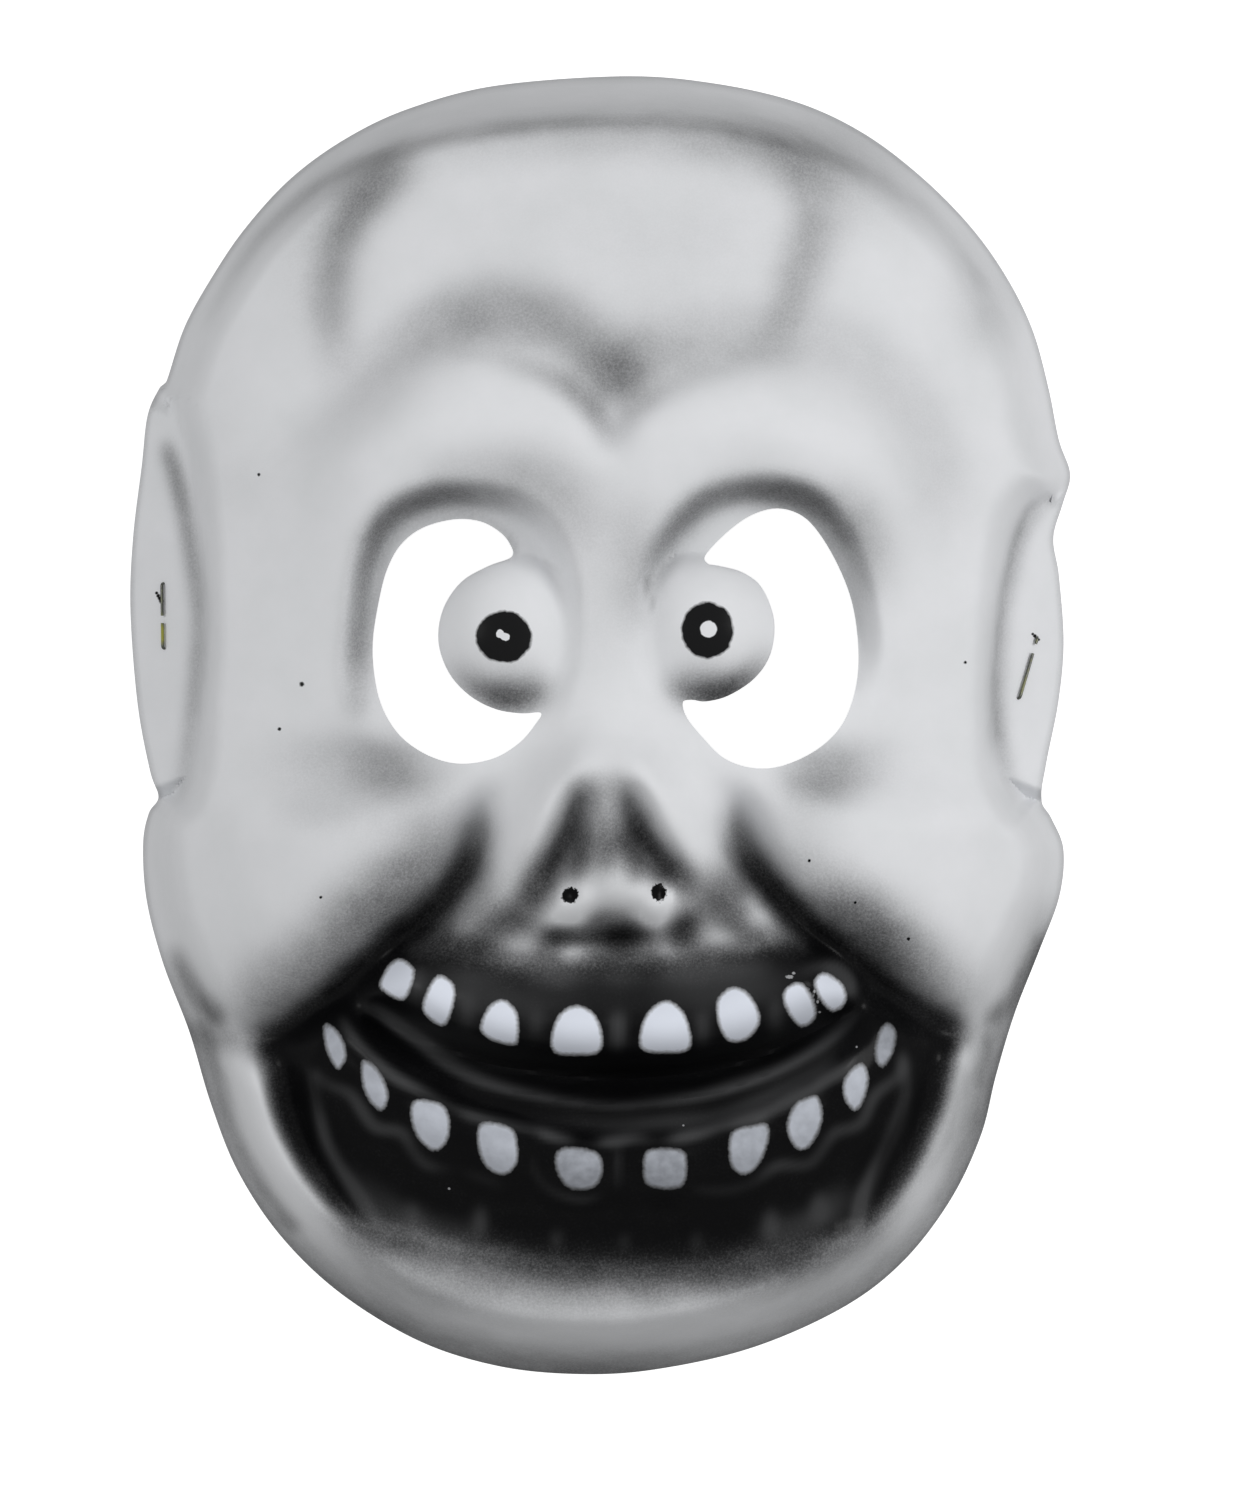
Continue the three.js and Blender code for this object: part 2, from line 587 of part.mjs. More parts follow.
for (const staple of STAPLES) {
  const steel = new THREE.MeshStandardMaterial({ color: 0x8a7f5a, roughness: 0.4, metalness: 0.9 });
  const mesh = new THREE.Mesh(stapleGeometry(), steel);
  mesh.name = staple.name;
  const frame = stapleFrame(staple);
  frame.add(mesh);
  group.add(frame);
}

export default group;
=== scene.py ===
# %% [markdown]
# # A skull mask pressed from foam
# The mask is one sheet of white foam, about two millimetres thick. The factory warms it, presses it over a
# form, cuts out the rim and the eye holes and sprays it with black. This lesson builds it in the same order:
# the pressed shape, the cut edges, the spray, the painted teeth and eyes, then the two staples.
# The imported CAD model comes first, because everything here has to lie where its solids lie.

import math

import bmesh
import bpy
import numpy as np
from mathutils import Matrix, Vector


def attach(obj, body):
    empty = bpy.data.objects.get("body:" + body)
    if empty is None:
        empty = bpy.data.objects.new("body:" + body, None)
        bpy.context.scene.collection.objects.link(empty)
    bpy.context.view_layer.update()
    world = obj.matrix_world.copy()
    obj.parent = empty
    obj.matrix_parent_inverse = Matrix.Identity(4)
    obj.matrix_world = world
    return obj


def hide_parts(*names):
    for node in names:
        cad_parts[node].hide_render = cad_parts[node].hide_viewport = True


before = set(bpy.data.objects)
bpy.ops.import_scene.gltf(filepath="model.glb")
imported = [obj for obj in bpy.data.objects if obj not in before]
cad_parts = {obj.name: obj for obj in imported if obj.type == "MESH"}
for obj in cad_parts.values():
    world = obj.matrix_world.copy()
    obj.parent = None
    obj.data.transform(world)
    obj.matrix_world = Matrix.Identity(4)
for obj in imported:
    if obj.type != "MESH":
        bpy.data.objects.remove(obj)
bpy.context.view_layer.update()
MM = 0.001                      # Blender's metres in a millimetre; the mask's own sizes are in millimetres

# %% [markdown]
# The picture looks straight down on the mask from far away, with its crown at the top. A real photographer
# would use a long lens for this. A camera eight metres up with a very long lens shows hardly any perspective,
# so the mask's outline and its nose come out at one scale. The lens follows from the height and from how
# much of the floor the picture's tall side takes in.

# %% Camera
PICTURE_TALL = 288.5            # of the floor, from the picture's bottom to its top
PICTURE_MIDDLE = (3.1, -4.8)
CAMERA_HEIGHT = 8000
SHARP_HEIGHT = 12               # the height at which the picture's scale is exact
SENSOR = 36
NEAREST_SEEN = 0.1              # in metres

camera_data = bpy.data.cameras.new("camera")
camera_data.sensor_width = SENSOR
camera_data.lens = SENSOR * (CAMERA_HEIGHT - SHARP_HEIGHT) / PICTURE_TALL
camera_data.clip_start = NEAREST_SEEN
camera = bpy.data.objects.new("camera", camera_data)
camera.location = Vector((*PICTURE_MIDDLE, CAMERA_HEIGHT)) * MM
bpy.context.scene.collection.objects.link(camera)
bpy.context.scene.camera = camera
print("the lens is", round(camera_data.lens), "mm long")

# %% [markdown]
# Nearly every line of the mask is a soft curve: its rim, the brow, the folds beside the mouth. One helper
# runs a smooth curve through a few chosen points, so that a curve is kept as a short list that can be
# changed by hand. A point may carry a third number, such as how hard the spray is pressed there, and the
# curve then blends that number as well.

# %% Curves through a few points
def curve_through(points, closed=False, steps=12):
    """Many points of the smooth curve that passes through the given ones."""
    p = np.array(points, float)
    if closed:
        p = np.vstack([p[-1:], p, p[:2]])
    else:
        p = np.vstack([2 * p[0] - p[1], p, 2 * p[-1] - p[-2]])
    t = (np.arange(steps) / steps)[:, None]
    spans = []
    for a, b, c, d in zip(p, p[1:], p[2:], p[3:]):
        bend = 2 * a - 5 * b + 4 * c - d + t * (3 * b - a - 3 * c + d)
        spans.append(b + 0.5 * t * (c - a + t * bend))
    if not closed:
        spans.append(p[-2:-1])
    return np.vstack(spans)


def inside_distance(x, y, ring):
    """How far inside a closed ring each place is. Outside it the distance is less than nought."""
    nearest = np.full(x.shape, np.inf)
    inside = np.zeros(x.shape, bool)
    for (ax, ay), (bx, by) in zip(ring, np.roll(ring, -1, axis=0)):
        dx, dy = bx - ax, by - ay
        t = np.clip(((x - ax) * dx + (y - ay) * dy) / (dx * dx + dy * dy), 0, 1)
        nearest = np.minimum(nearest, (x - ax - t * dx) ** 2 + (y - ay - t * dy) ** 2)
        crosses = (ay > y) != (by > y)
        inside ^= crosses & (x < ax + dx * (y - ay) / (dy if dy else 1))
    return np.where(inside, 1, -1) * np.sqrt(nearest)


print("a curve through three points has", len(curve_through([(0, 0), (1, 2), (3, 2)])), "points")

# %% [markdown]
# Pressed foam has no sharp corner. Where two forms meet, such as an eyeball and its socket, the taller one
# wins, and the join is rounded over a chosen width. The same trick with the signs changed rounds the top
# edge of the side wall.

# %% Soft joins
def smooth_min(a, b, width):
    """The lower of two heights, with the join rounded over the width."""
    share = np.clip(0.5 + (b - a) / (2 * width), 0, 1)
    return b * (1 - share) + a * share - width * share * (1 - share)


def smooth_max(a, b, width):
    """The higher of two heights, with the join rounded over the width."""
    return -smooth_min(-a, -b, width)


def ease(t):
    """From nought to one with a gentle start and end."""
    t = np.clip(t, 0, 1)
    return t * t * (3 - 2 * t)


print("heights 3 and 4 join at", round(float(smooth_max(3, 4, 2)), 2))

# %% [markdown]
# The rim is the line where the sheet was cut. It isn't quite the same on both sides, as on most pressed
# things that a person lays on the cutter by hand. Points follow each change of curve, closest together at
# the temple tabs, where the outline steps in and out.

# %% The rim
RIM = [
    (-83.6, 66.2), (-80.1, 76.7), (-74.7, 86.5), (-68.2, 96.0), (-59.3, 105.6), (-48.5, 113.3),
    (-36.5, 118.9), (-20, 123.2), (4.7, 125), (22, 123.6), (37.8, 120), (50.5, 114.1), (61.8, 105.6),
    (71.3, 96), (78.2, 86.3), (83.2, 76.2), (86.3, 65), (88.3, 55), (90.5, 48.3), (89.0, 42.5), (87.2, 36),
    (88.3, 28.7), (89.2, 16), (88.2, 4.6), (85.9, -7), (84.9, -14.2), (86.9, -18), (89.2, -24), (88.4, -33),
    (84.5, -43.5), (79.8, -55.5), (76.2, -67.5), (73.3, -79.0), (67.4, -91.5), (58.2, -103.4),
    (46.5, -112.3), (29, -120), (10, -124.2), (-5, -125), (-20, -123.4), (-35, -118.6), (-50, -109.5),
    (-61.5, -98.5), (-69.8, -86), (-75, -73), (-79.2, -59), (-84.2, -46), (-87.4, -33.8), (-88.1, -23),
    (-87.0, -17), (-85.1, -13.8), (-86.7, -8.8), (-89.1, 4), (-90.5, 22), (-90.0, 36), (-88.3, 50),
    (-87.2, 59.5), (-84.9, 65),
]
rim_ring = curve_through(RIM, closed=True)
print("the rim is", round(np.hypot(*np.diff(rim_ring, axis=0).T).sum()), "mm round")

# %% [markdown]
# A steep wall rises all round from the rim to the face. Its width in plan changes round the mask: the crown
# and the chin lean in more than the temples. At each temple the wall stands back from the rim, and a flat
# tab fills the space between, with a staple through it.

# %% The side wall and the temple tabs
WALL_WIDTH = [                  # compass angle from the mask's middle, width in plan
    (-180, 5.5), (-168, 6.5), (-150, 8), (-120, 8.5), (-90, 9), (-60, 8.5), (-30, 8), (-12, 6.5), (0, 5.5),
    (22, 6), (36, 8.5), (50, 7.5), (75, 8.6), (100, 8.6), (125, 6.6), (140, 6.6), (160, 5.5), (180, 5.5),
]
TAB_SLOPE = 0.72
TAB_RIM_HEIGHT = 2.8
TAB_END_SLOPE = 1.8
TABS = [
    {"side": -1, "rim_x": 90.6, "top": 64.5, "bottom": -15.5, "foot_top": 63, "foot_bottom": -13.5,
     "crease": [(-84.5, 61), (-82.3, 52), (-80.6, 42), (-79.4, 30), (-79.0, 18), (-79.6, 6), (-80.6, -5),
                (-83, -12.5)]},
    {"side": 1, "rim_x": 89.3, "top": 45.5, "bottom": -15.8, "foot_top": 44.5, "foot_bottom": -13.8,
     "crease": [(88.5, 43.0), (83.8, 39.3), (80.9, 32), (79.4, 22), (78.4, 10), (78.2, 0), (79.4, -8),
                (82.5, -13.5)]},
]
TAB_FROM_X = 80                 # a rim point further out than this, beside a tab, belongs to the tab


def wall_width(x, y):
    angle = np.degrees(np.arctan2(y, x))
    return np.interp(angle, *np.transpose(WALL_WIDTH))


def tab_height(tab, x, y):
    plane = TAB_RIM_HEIGHT + TAB_SLOPE * (tab["rim_x"] - tab["side"] * x)
    ends = np.minimum(tab["top"] - y, y - tab["bottom"])
    return np.clip(np.minimum(plane, TAB_END_SLOPE * ends), 0, None)


def wall_foot():
    """The rim, with its two tab stretches moved in to the creases where the wall rises."""
    ring = rim_ring
    for tab in TABS:
        beside = (ring[:, 0] * tab["side"] > TAB_FROM_X) & (ring[:, 1] < tab["foot_top"])
        beside &= ring[:, 1] > tab["foot_bottom"]
        crease = curve_through(tab["crease"], steps=6)[:: tab["side"]]
        first = np.flatnonzero(beside & ~np.roll(beside, 1))[0]
        ring = np.roll(ring, -first, axis=0)
        ring = np.vstack([crease, ring[beside.sum():]])
    return ring


foot_ring = wall_foot()
print("the wall's foot has", len(foot_ring), "points")

# %% [markdown]
# The face is a shallow dome with forms laid on it. A swelling is a round hill or hollow: cheeks, nose, the
# forehead. A steepness above two gives it a flatter top and a firmer edge, as a pressed form has.

# %% Swellings and hollows
DOME = {"top": 54, "middle_y": 4, "half_width": 78, "half_length": 118, "side_drop": 25, "end_drop": 23}
DOME_POWER = 2.3
SWELLINGS = {                   # centre, radii, height, turn in degrees, steepness
    "forehead": (-4, 98, 38, 18, 2.0, 0, 2),
    "brow dimple": (3.7, 67, 6.5, 6.5, -3.0, 0, 2),
    "nose": (1.8, -21, 16, 20, 11, 0, 3.2),
    "nose tip": (2.4, -30.2, 5.6, 5.6, 5.0, 0, 2.4),
    "left nostril ring": (-6.4, -34.4, 5.0, 4.8, 4.6, 0, 3),
    "right nostril ring": (11.2, -33.8, 5.0, 4.8, 4.6, 0, 3),
    "left nostril": (-5.8, -32.5, 1.5, 1.4, -1.8, 20, 3),
    "right nostril": (11.2, -32.0, 1.35, 1.6, -1.8, 10, 3),
    "under the nose": (3.4, -41, 8, 3.2, -3.4, 0, 2),
    "left cheek": (-57, -33, 27, 19, 8.5, -14, 2.6),
    "right cheek": (59, -33, 27, 19, 8.5, 14, 2.6),
    "left hollow": (-44, -8, 12, 5, -3.0, -6, 2),
    "right hollow": (45, -9, 12, 5, -3.0, 6, 2),
    "lower gum": (0, -95, 40, 7, -2.5, 0, 2),
}


def dome(x, y):
    across = DOME["side_drop"] * np.abs(x / DOME["half_width"]) ** DOME_POWER
    along = DOME["end_drop"] * np.abs((y - DOME["middle_y"]) / DOME["half_length"]) ** DOME_POWER
    return DOME["top"] - across - along


def swelling(x, y, middle_x, middle_y, radius_x, radius_y, height, turn=0, steepness=2):
    cos, sin = math.cos(math.radians(turn)), math.sin(math.radians(turn))
    u = ((x - middle_x) * cos + (y - middle_y) * sin) / radius_x
    v = ((y - middle_y) * cos - (x - middle_x) * sin) / radius_y
    return height * np.exp(-((u * u + v * v) ** (steepness / 2)))


print(len(SWELLINGS), "swellings and hollows")

# %% [markdown]
# The long forms, such as brows, folds and lips, are lines blurred by their own width. Blots set closely
# along a curve and added up give that line a round section and no corner anywhere. The same helper serves
# the airbrush later on, because a pass of spray is also a blurred line.

# %% Blurred lines
BLOT_REACH = 3.2                # in widths; past this a blot adds nothing that shows


def blurred_line(x, y, line, strength, width):
    """Blots along a line, added up so that the line's middle has the strength given."""
    total = np.zeros(x.shape)
    margin = BLOT_REACH * width
    near = (x > line[:, 0].min() - margin) & (x < line[:, 0].max() + margin)
    near &= (y > line[:, 1].min() - margin) & (y < line[:, 1].max() + margin)
    near_x, near_y = x[near], y[near]
    found = np.zeros(near_x.shape)
    steps = np.hypot(*np.diff(line, axis=0).T)
    lengths = 0.5 * (np.append(steps, 0) + np.insert(steps, 0, 0))
    for (bx, by), amount in zip(line, strength * lengths / (width * math.sqrt(math.pi))):
        found += amount * np.exp(-((near_x - bx) ** 2 + (near_y - by) ** 2) / width ** 2)
    total[near] = found
    return total


def crease(x, y, width, height, fade, route):
    """A ridge, or with a height below nought a groove, that fades over a share of its length at each end."""
    line = curve_through(route)
    steps = np.hypot(*np.diff(line, axis=0).T)
    along = np.insert(np.cumsum(steps), 0, 0) / steps.sum()
    return blurred_line(x, y, line, height * ease(np.minimum(along, 1 - along) / fade), width)


print("a blurred line reaches", BLOT_REACH, "times its width to each side")

# %% [markdown]
# These are the ridges and grooves, from the forehead down to the chin. Each has its width, its height, the
# share of it that fades out at the ends, and a route of a few points.

# %% Ridges and grooves of the brow and nose
UPPER_CREASES = {
    "left suture": (4.0, -1.3, 0.15, [(-43, 106), (-49.1, 99), (-53, 90.4), (-53.6, 81.7), (-52.5, 72)]),
    "right suture": (4.0, -1.3, 0.15, [(39, 107), (42.6, 101), (42.6, 93.3), (39.9, 84.6), (37.5, 77)]),
    "left brow valley": (6, -3.4, 0.2, [
        (-69, 47), (-62, 52.5), (-53.9, 58.7), (-46.3, 65.4), (-38.6, 72.6), (-28.9, 78.0), (-19.3, 79.6),
        (-9.7, 77.5), (-2, 73), (3.7, 67)]),
    "right brow valley": (6, -2.6, 0.2, [
        (3.7, 67), (10, 71.5), (21, 74.5), (36.4, 75), (48, 72.1), (57.6, 64.4), (63.4, 54.8), (65.3, 45.2),
        (63.4, 34)]),
    "left brow": (11.5, 6.0, 0.14, [
        (-52.5, 36), (-49.5, 46), (-42.5, 53.5), (-33, 58.0), (-21.3, 59.5), (-11.5, 57), (-5, 51.5),
        (-2.5, 45)]),
    "right brow": (11.5, 6.0, 0.14, [
        (6.5, 45), (9, 51.5), (16.5, 56.5), (26, 59.3), (37, 58), (47.5, 53.5), (54.5, 46), (57.5, 34)]),
    "brow cleft": (3.8, -3.4, 0.35, [(2.8, 70), (2.4, 63), (2.1, 56), (1.9, 49)]),
    "left lobe edge": (2.3, -1.5, 0.3, [(-24, 71.5), (-12, 67.5), (-5, 63.5), (-0.5, 58.5), (2, 53)]),
    "right lobe edge": (2.3, -1.3, 0.3, [(3, 54), (6, 59.5), (11, 63.5), (19, 67.5), (33, 70.5)]),
    "forehead line": (1.7, -0.8, 0.12, [
        (-74.1, 79.8), (-65.1, 94.2), (-55.9, 102.5), (-47.8, 107.1), (-30.9, 112.5), (-7.8, 115.4),
        (17.2, 115.4), (34.5, 112.1), (48, 107.7), (63.4, 98.1), (73.9, 83.7)]),
    "bridge": (10, 2.0, 0.2, [(1.5, 40), (0.8, 24), (0.8, 8), (1.5, -6)]),
    "left nose wing": (4.4, 4.2, 0.1, [
        (1.5, -5), (-6, -9), (-11, -15), (-15, -22.5), (-18.5, -30.5), (-24, -37.5), (-30, -41)]),
    "right nose wing": (4.4, 4.2, 0.1, [
        (1.5, -5), (8.5, -9), (13.5, -15), (17.8, -22.5), (22, -30.5), (28, -36.5), (35, -41)]),
    "left nose pit": (3.0, -7.0, 0.2, [(-3.4, -11.5), (-5.2, -18), (-7.6, -24.5), (-10.4, -30.5)]),
    "right nose pit": (3.0, -7.0, 0.2, [(4.6, -11.5), (6.6, -18), (9.6, -23.5), (14.2, -29)]),
    "left cheek bone": (6, 2.5, 0.15, [(-82, -18), (-60, -20.0), (-40, -17), (-27, -12), (-17, -5)]),
    "right cheek bone": (6, 2.5, 0.15, [(84, -16), (62, -18), (43, -16), (29, -10.5), (19, -4)]),
}
print(len(UPPER_CREASES), "ridges and grooves above the mouth")

# %% [markdown]
# The grin is the deepest pressing. Two folds run down from the nose, the upper jaw overhangs the mouth, and
# the lower jaw stands forward between two troughs. A low rim closes the chin.

# %% Ridges and grooves of the mouth and jaw
LEFT_FOLD = [
    (-21, -12), (-22.4, -19), (-24.6, -26), (-30.5, -34.5), (-38.5, -41.5), (-47, -48.5), (-56, -55),
    (-66, -60.5), (-77, -58)]
RIGHT_FOLD = [
    (24.5, -11), (25.8, -18), (28.2, -25.5), (34.4, -33.5), (42.2, -41), (51, -48), (60, -54.5), (69, -59.5),
    (78, -57)]
LIP = [
    (-44, -54.5), (-37, -58.5), (-29, -64), (-20, -68.8), (-10, -71.2), (2.2, -72.8), (15, -71.8),
    (25, -69.4), (35, -65), (43, -60), (49, -55)]
TOOTH_TOPS = [
    (-50.5, -56.5), (-45.5, -62.5), (-38.5, -68), (-29.5, -72.5), (-20, -76), (-8, -79), (2.2, -80),
    (14, -79), (26, -76), (36, -71.5), (45, -66.5), (52, -59.5)]
LOWER_JAW = [
    (-52, -63), (-43.4, -70), (-32.6, -76), (-19.7, -81), (-4.1, -84.5), (12.6, -84.5), (28.4, -81),
    (39.4, -76.3), (48.8, -69.6), (55, -62)]
LOWER_CREASES = {
    "left cheek fold": (4.6, -8.5, 0.1, LEFT_FOLD),
    "right cheek fold": (4.6, -8.5, 0.1, RIGHT_FOLD),
    "upper jaw": (8, 7.0, 0.05, [
        (-42, -49), (-31, -54), (-18, -57), (-4.5, -58.4), (12.4, -58.4), (26, -56), (37, -52), (44, -49)]),
    "mouth": (3.2, -9.5, 0.06, [
        (-47, -52.8), (-40, -56.9), (-31, -61.6), (-19.3, -65.3), (2.2, -67.5), (23, -65.5), (36, -60.8),
        (45, -56.3), (51, -52.8)]),
    "lip": (1.8, 2.2, 0.08, LIP),
    "lower jaw": (7.5, 5.5, 0.06, LOWER_JAW),
    "tooth tops": (1.7, 1.4, 0.06, TOOTH_TOPS),
    "left gum edge": (2.2, 2.2, 0.15, [
        (-55.2, -63), (-54.9, -70), (-53.2, -78.5), (-50, -84.5), (-46.5, -91), (-42.5, -97)]),
    "right gum edge": (2.2, 2.2, 0.15, [
        (57.0, -62), (58.4, -69), (57.2, -76), (54.4, -82), (51.8, -89), (50.3, -97)]),
    "left trough": (4.0, -5.0, 0.15, [(-62, -61), (-60, -71), (-56.5, -81), (-51, -89.5), (-43.5, -96.5)]),
    "right trough": (4.0, -5.0, 0.15, [(65, -60), (63.8, -71), (60.5, -80.5), (55.5, -89.5), (49, -98)]),
    "jaw rim": (6.5, 4.0, 0.04, [
        (-74.5, -57), (-70, -72), (-64, -86), (-55.5, -97), (-43, -106), (-25, -112), (0, -114.5),
        (25, -112.5), (43, -105.5), (56, -97), (65.5, -86), (71.5, -72), (76, -56)]),
}
print(len(LOWER_CREASES), "ridges and grooves of the mouth and jaw")

# %% [markdown]
# Every tooth stands up a little from its gum, as a firm-edged swelling somewhat wider than the white patch
# that is painted on it. Between the lower teeth and the chin the gum shows the roots as low streaks.

# %% Teeth and roots
UPPER_TEETH = [                 # centre, half width, half height, turn in degrees
    (-39.1, -48.7, 3.4, 3.9, -22), (-30.9, -53, 3.1, 4.7, -14), (-19.1, -57, 3.6, 4.2, -6),
    (-4.5, -58.4, 5.0, 4.6, 0), (12.6, -58.2, 5.0, 4.8, 0), (26.1, -55.6, 4.0, 5.0, 8),
    (37.9, -53.4, 3.1, 4.1, 18), (44.1, -51, 3.0, 3.4, 22),
]
LOWER_TEETH = [
    (-51.2, -61.7, 2.0, 3.9, 10), (-43.4, -69, 2.5, 4.3, 14), (-32.6, -76.5, 3.6, 4.7, 6),
    (-19.7, -81, 3.7, 4.6, 4), (-4.1, -84.8, 4.2, 4.1, 3), (12.6, -85, 3.8, 4.0, 0),
    (28.4, -81, 3.7, 4.4, -6), (39.4, -76.3, 3.2, 4.8, -12), (48.8, -69.6, 2.3, 4.3, -14),
    (54.5, -61.9, 1.8, 3.6, -10),
]
UPPER_BUMP = (2.2, 3.2, 1.5, 2.0)   # how much wider, longer and further up than the patch, and its height
LOWER_BUMP = (2.0, 2.4, 0, 1.6)
TOOTH_STEEPNESS = 3
ROOTS = {"x": (-24, -7.8, 7.6, 18, 31.6, 44), "y": -94, "radii": (2.4, 7), "height": 0.7}


def teeth_relief(x, y):
    z = np.zeros(x.shape)
    for teeth, (wider, longer, up, height) in ((UPPER_TEETH, UPPER_BUMP), (LOWER_TEETH, LOWER_BUMP)):
        for middle_x, middle_y, half_width, half_height, turn in teeth:
            radii = (half_width + wider, half_height + longer)
            z += swelling(x, y, middle_x, middle_y + up, *radii, height, turn, TOOTH_STEEPNESS)
    for middle_x in ROOTS["x"]:
        z += swelling(x, y, middle_x, ROOTS["y"], *ROOTS["radii"], ROOTS["height"])
    return z


print(len(UPPER_TEETH), "upper teeth and", len(LOWER_TEETH), "lower ones")

# %% [markdown]
# The eye sockets are steps down from the brow that run out towards the cheeks. In each one a ball stands
# beside the hole that the wearer looks through. The balls are joined in with a soft maximum, so they keep
# a round crease at their foot.

# %% Sockets and eyeballs
SOCKET_DEPTH = 8.0
SOCKET_EDGE = (-3.0, 3.5)       # where the step begins and ends across the edge
SOCKET_FADE = (-6, 28)          # y below which a socket has no step, and above which it has all of it
SOCKETS = [
    [(-47.3, 8), (-47.0, 17), (-46.2, 25), (-44.4, 33.5), (-40.0, 40.2), (-33, 43.8), (-26, 44.3),
     (-18, 43.0), (-11, 38.5), (-7, 30), (-6, 20), (-7, 8), (-12, -4), (-27, -10), (-42, -3)],
    [(52.0, 12), (51.2, 22), (49.2, 30), (46.0, 37), (41.0, 42.6), (34, 45.4), (27, 45.1), (20, 42.3),
     (14.5, 38), (10.5, 32), (8.4, 22), (9, 10), (14, -2), (24, -10), (36, -11), (47, -3)],
]
BALLS = [(-17.4, 17.0), (19.8, 17.6)]
BALL_RADIUS = 15.6              # of the whole ball, of which a cap stands out of the socket
BALL_MIDDLE = 40.6              # height of the whole ball's middle
BALL_CREASE = 2.4
BALL_TO_BRIDGE = 5.5            # how much wider the join is on the nose side of a ball
BRIDGE_SIDE = (-1, 7)           # how far towards the nose that widening starts and is full
BALL_FALL = 2.6                 # slope of the ball's form outside its own circle


def socket_step(x, y, points):
    edge = inside_distance(x, y, curve_through(points, closed=True, steps=6))
    across = (edge - SOCKET_EDGE[0]) / (SOCKET_EDGE[1] - SOCKET_EDGE[0])
    along = (y - SOCKET_FADE[0]) / (SOCKET_FADE[1] - SOCKET_FADE[0])
    return SOCKET_DEPTH * ease(across) * ease(along)


def ball_join(x, middle):
    """Width of the join round a ball, which runs into the bridge of the nose without a crease."""
    towards_nose = (middle[0] - x) * math.copysign(1, middle[0])
    share = ease((towards_nose - BRIDGE_SIDE[0]) / (BRIDGE_SIDE[1] - BRIDGE_SIDE[0]))
    return BALL_CREASE + BALL_TO_BRIDGE * share


def ball_height(x, y, middle):
    out = np.hypot(x - middle[0], y - middle[1])
    cap = np.sqrt(np.clip(BALL_RADIUS ** 2 - out ** 2, 0, None))
    return BALL_MIDDLE + cap - BALL_FALL * np.clip(out - BALL_RADIUS, 0, None)


print("the left ball stands up to", BALL_MIDDLE + BALL_RADIUS, "mm")

# %% [markdown]
# Now the forms are put together. The face height is what the skin would have if it ran on for ever, and
# the side wall cuts it down to nought at the wall's foot. A low, slow unevenness is added, because warm
# foam never takes the form's shape exactly.

# %% Height of the whole skin
WALL_ROUNDING = 0.3             # share of the wall's width that its upper crease rounds over
TAB_CORNER = 1.5
TABS_BEYOND = 70                # how far out from the middle line a place can be on a tab
UNEVEN_SEED = 7
UNEVEN_COUNT = 9
UNEVEN_HEIGHT = 0.12
UNEVEN_LENGTH = (17, 41)        # shortest and longest wave
rng = np.random.default_rng(UNEVEN_SEED)
uneven_waves = [
    (*rng.uniform(-1, 1, 2), rng.uniform(*UNEVEN_LENGTH), rng.uniform(0, 2 * math.pi))
    for _ in range(UNEVEN_COUNT)
]


def unevenness(x, y):
    z = np.zeros(x.shape)
    for across, along, length, phase in uneven_waves:
        z += UNEVEN_HEIGHT * np.sin(2 * math.pi * (across * x + along * y) / length + phase)
    return z


def face_height(x, y):
    z = dome(x, y) + unevenness(x, y) + teeth_relief(x, y)
    for form in SWELLINGS.values():
        z += swelling(x, y, *form)
    for form in [*UPPER_CREASES.values(), *LOWER_CREASES.values()]:
        z += crease(x, y, *form)
    for points in SOCKETS:
        z -= socket_step(x, y, points)
    for middle in BALLS:
        z = smooth_max(z, ball_height(x, y, middle), ball_join(x, middle))
    return z


def skin_height(x, y):
    share = np.clip(inside_distance(x, y, foot_ring), 0, None) / wall_width(x, y)
    z = face_height(x, y) * np.clip(smooth_min(share, 1, WALL_ROUNDING), 0, None)
    for tab in TABS:
        beside = x * tab["side"] > TABS_BEYOND
        z = np.where(beside, smooth_max(z, tab_height(tab, x, y), TAB_CORNER), z)
    return z


nose_x, nose_y = np.array(SWELLINGS["nose tip"][:2], float)[:, None]
print("the nose stands up to", round(float(skin_height(nose_x, nose_y)[0]), 1), "mm")

# %% [markdown]
# A square grid is the simplest sheet that Blender can make. To give it the mask's outline, its square is
# first rounded to a disc and then stretched to the rim, so the outermost row of points lies on the rim
# itself. The grid's lines aren't evenly spaced: they crowd together over the mouth and the eyes, where the
# fine forms are, and spread out over the plain forehead.

# %% From a square grid to the mask's outline
SPACING_ACROSS = [
    (-90, 0.62), (-80, 0.75), (-62, 0.85), (-50, 0.72), (55, 0.72), (66, 0.85), (80, 0.75), (90, 0.62)]
SPACING_ALONG = [
    (-125, 0.72), (-112, 0.95), (-100, 0.8), (-8, 0.72), (46, 0.85), (62, 1.2), (112, 1.3), (125, 0.8)]
SPACING_SAMPLES = 2001


def grid_lines(spacing, count):
    """Places from -1 to 1 for the lines of a grid, spaced in the proportions wanted."""
    places, sizes = np.transpose(spacing)
    at = np.linspace(places[0], places[-1], SPACING_SAMPLES)
    summed = np.insert(np.cumsum(1 / np.interp(at[1:], places, sizes)), 0, 0)
    found = np.interp(np.linspace(0, summed[-1], count + 1), summed, at)
    return 2 * (found - places[0]) / (places[-1] - places[0]) - 1


rim_angle = np.arctan2(rim_ring[:, 1], rim_ring[:, 0])
rim_radius = np.hypot(rim_ring[:, 0], rim_ring[:, 1])


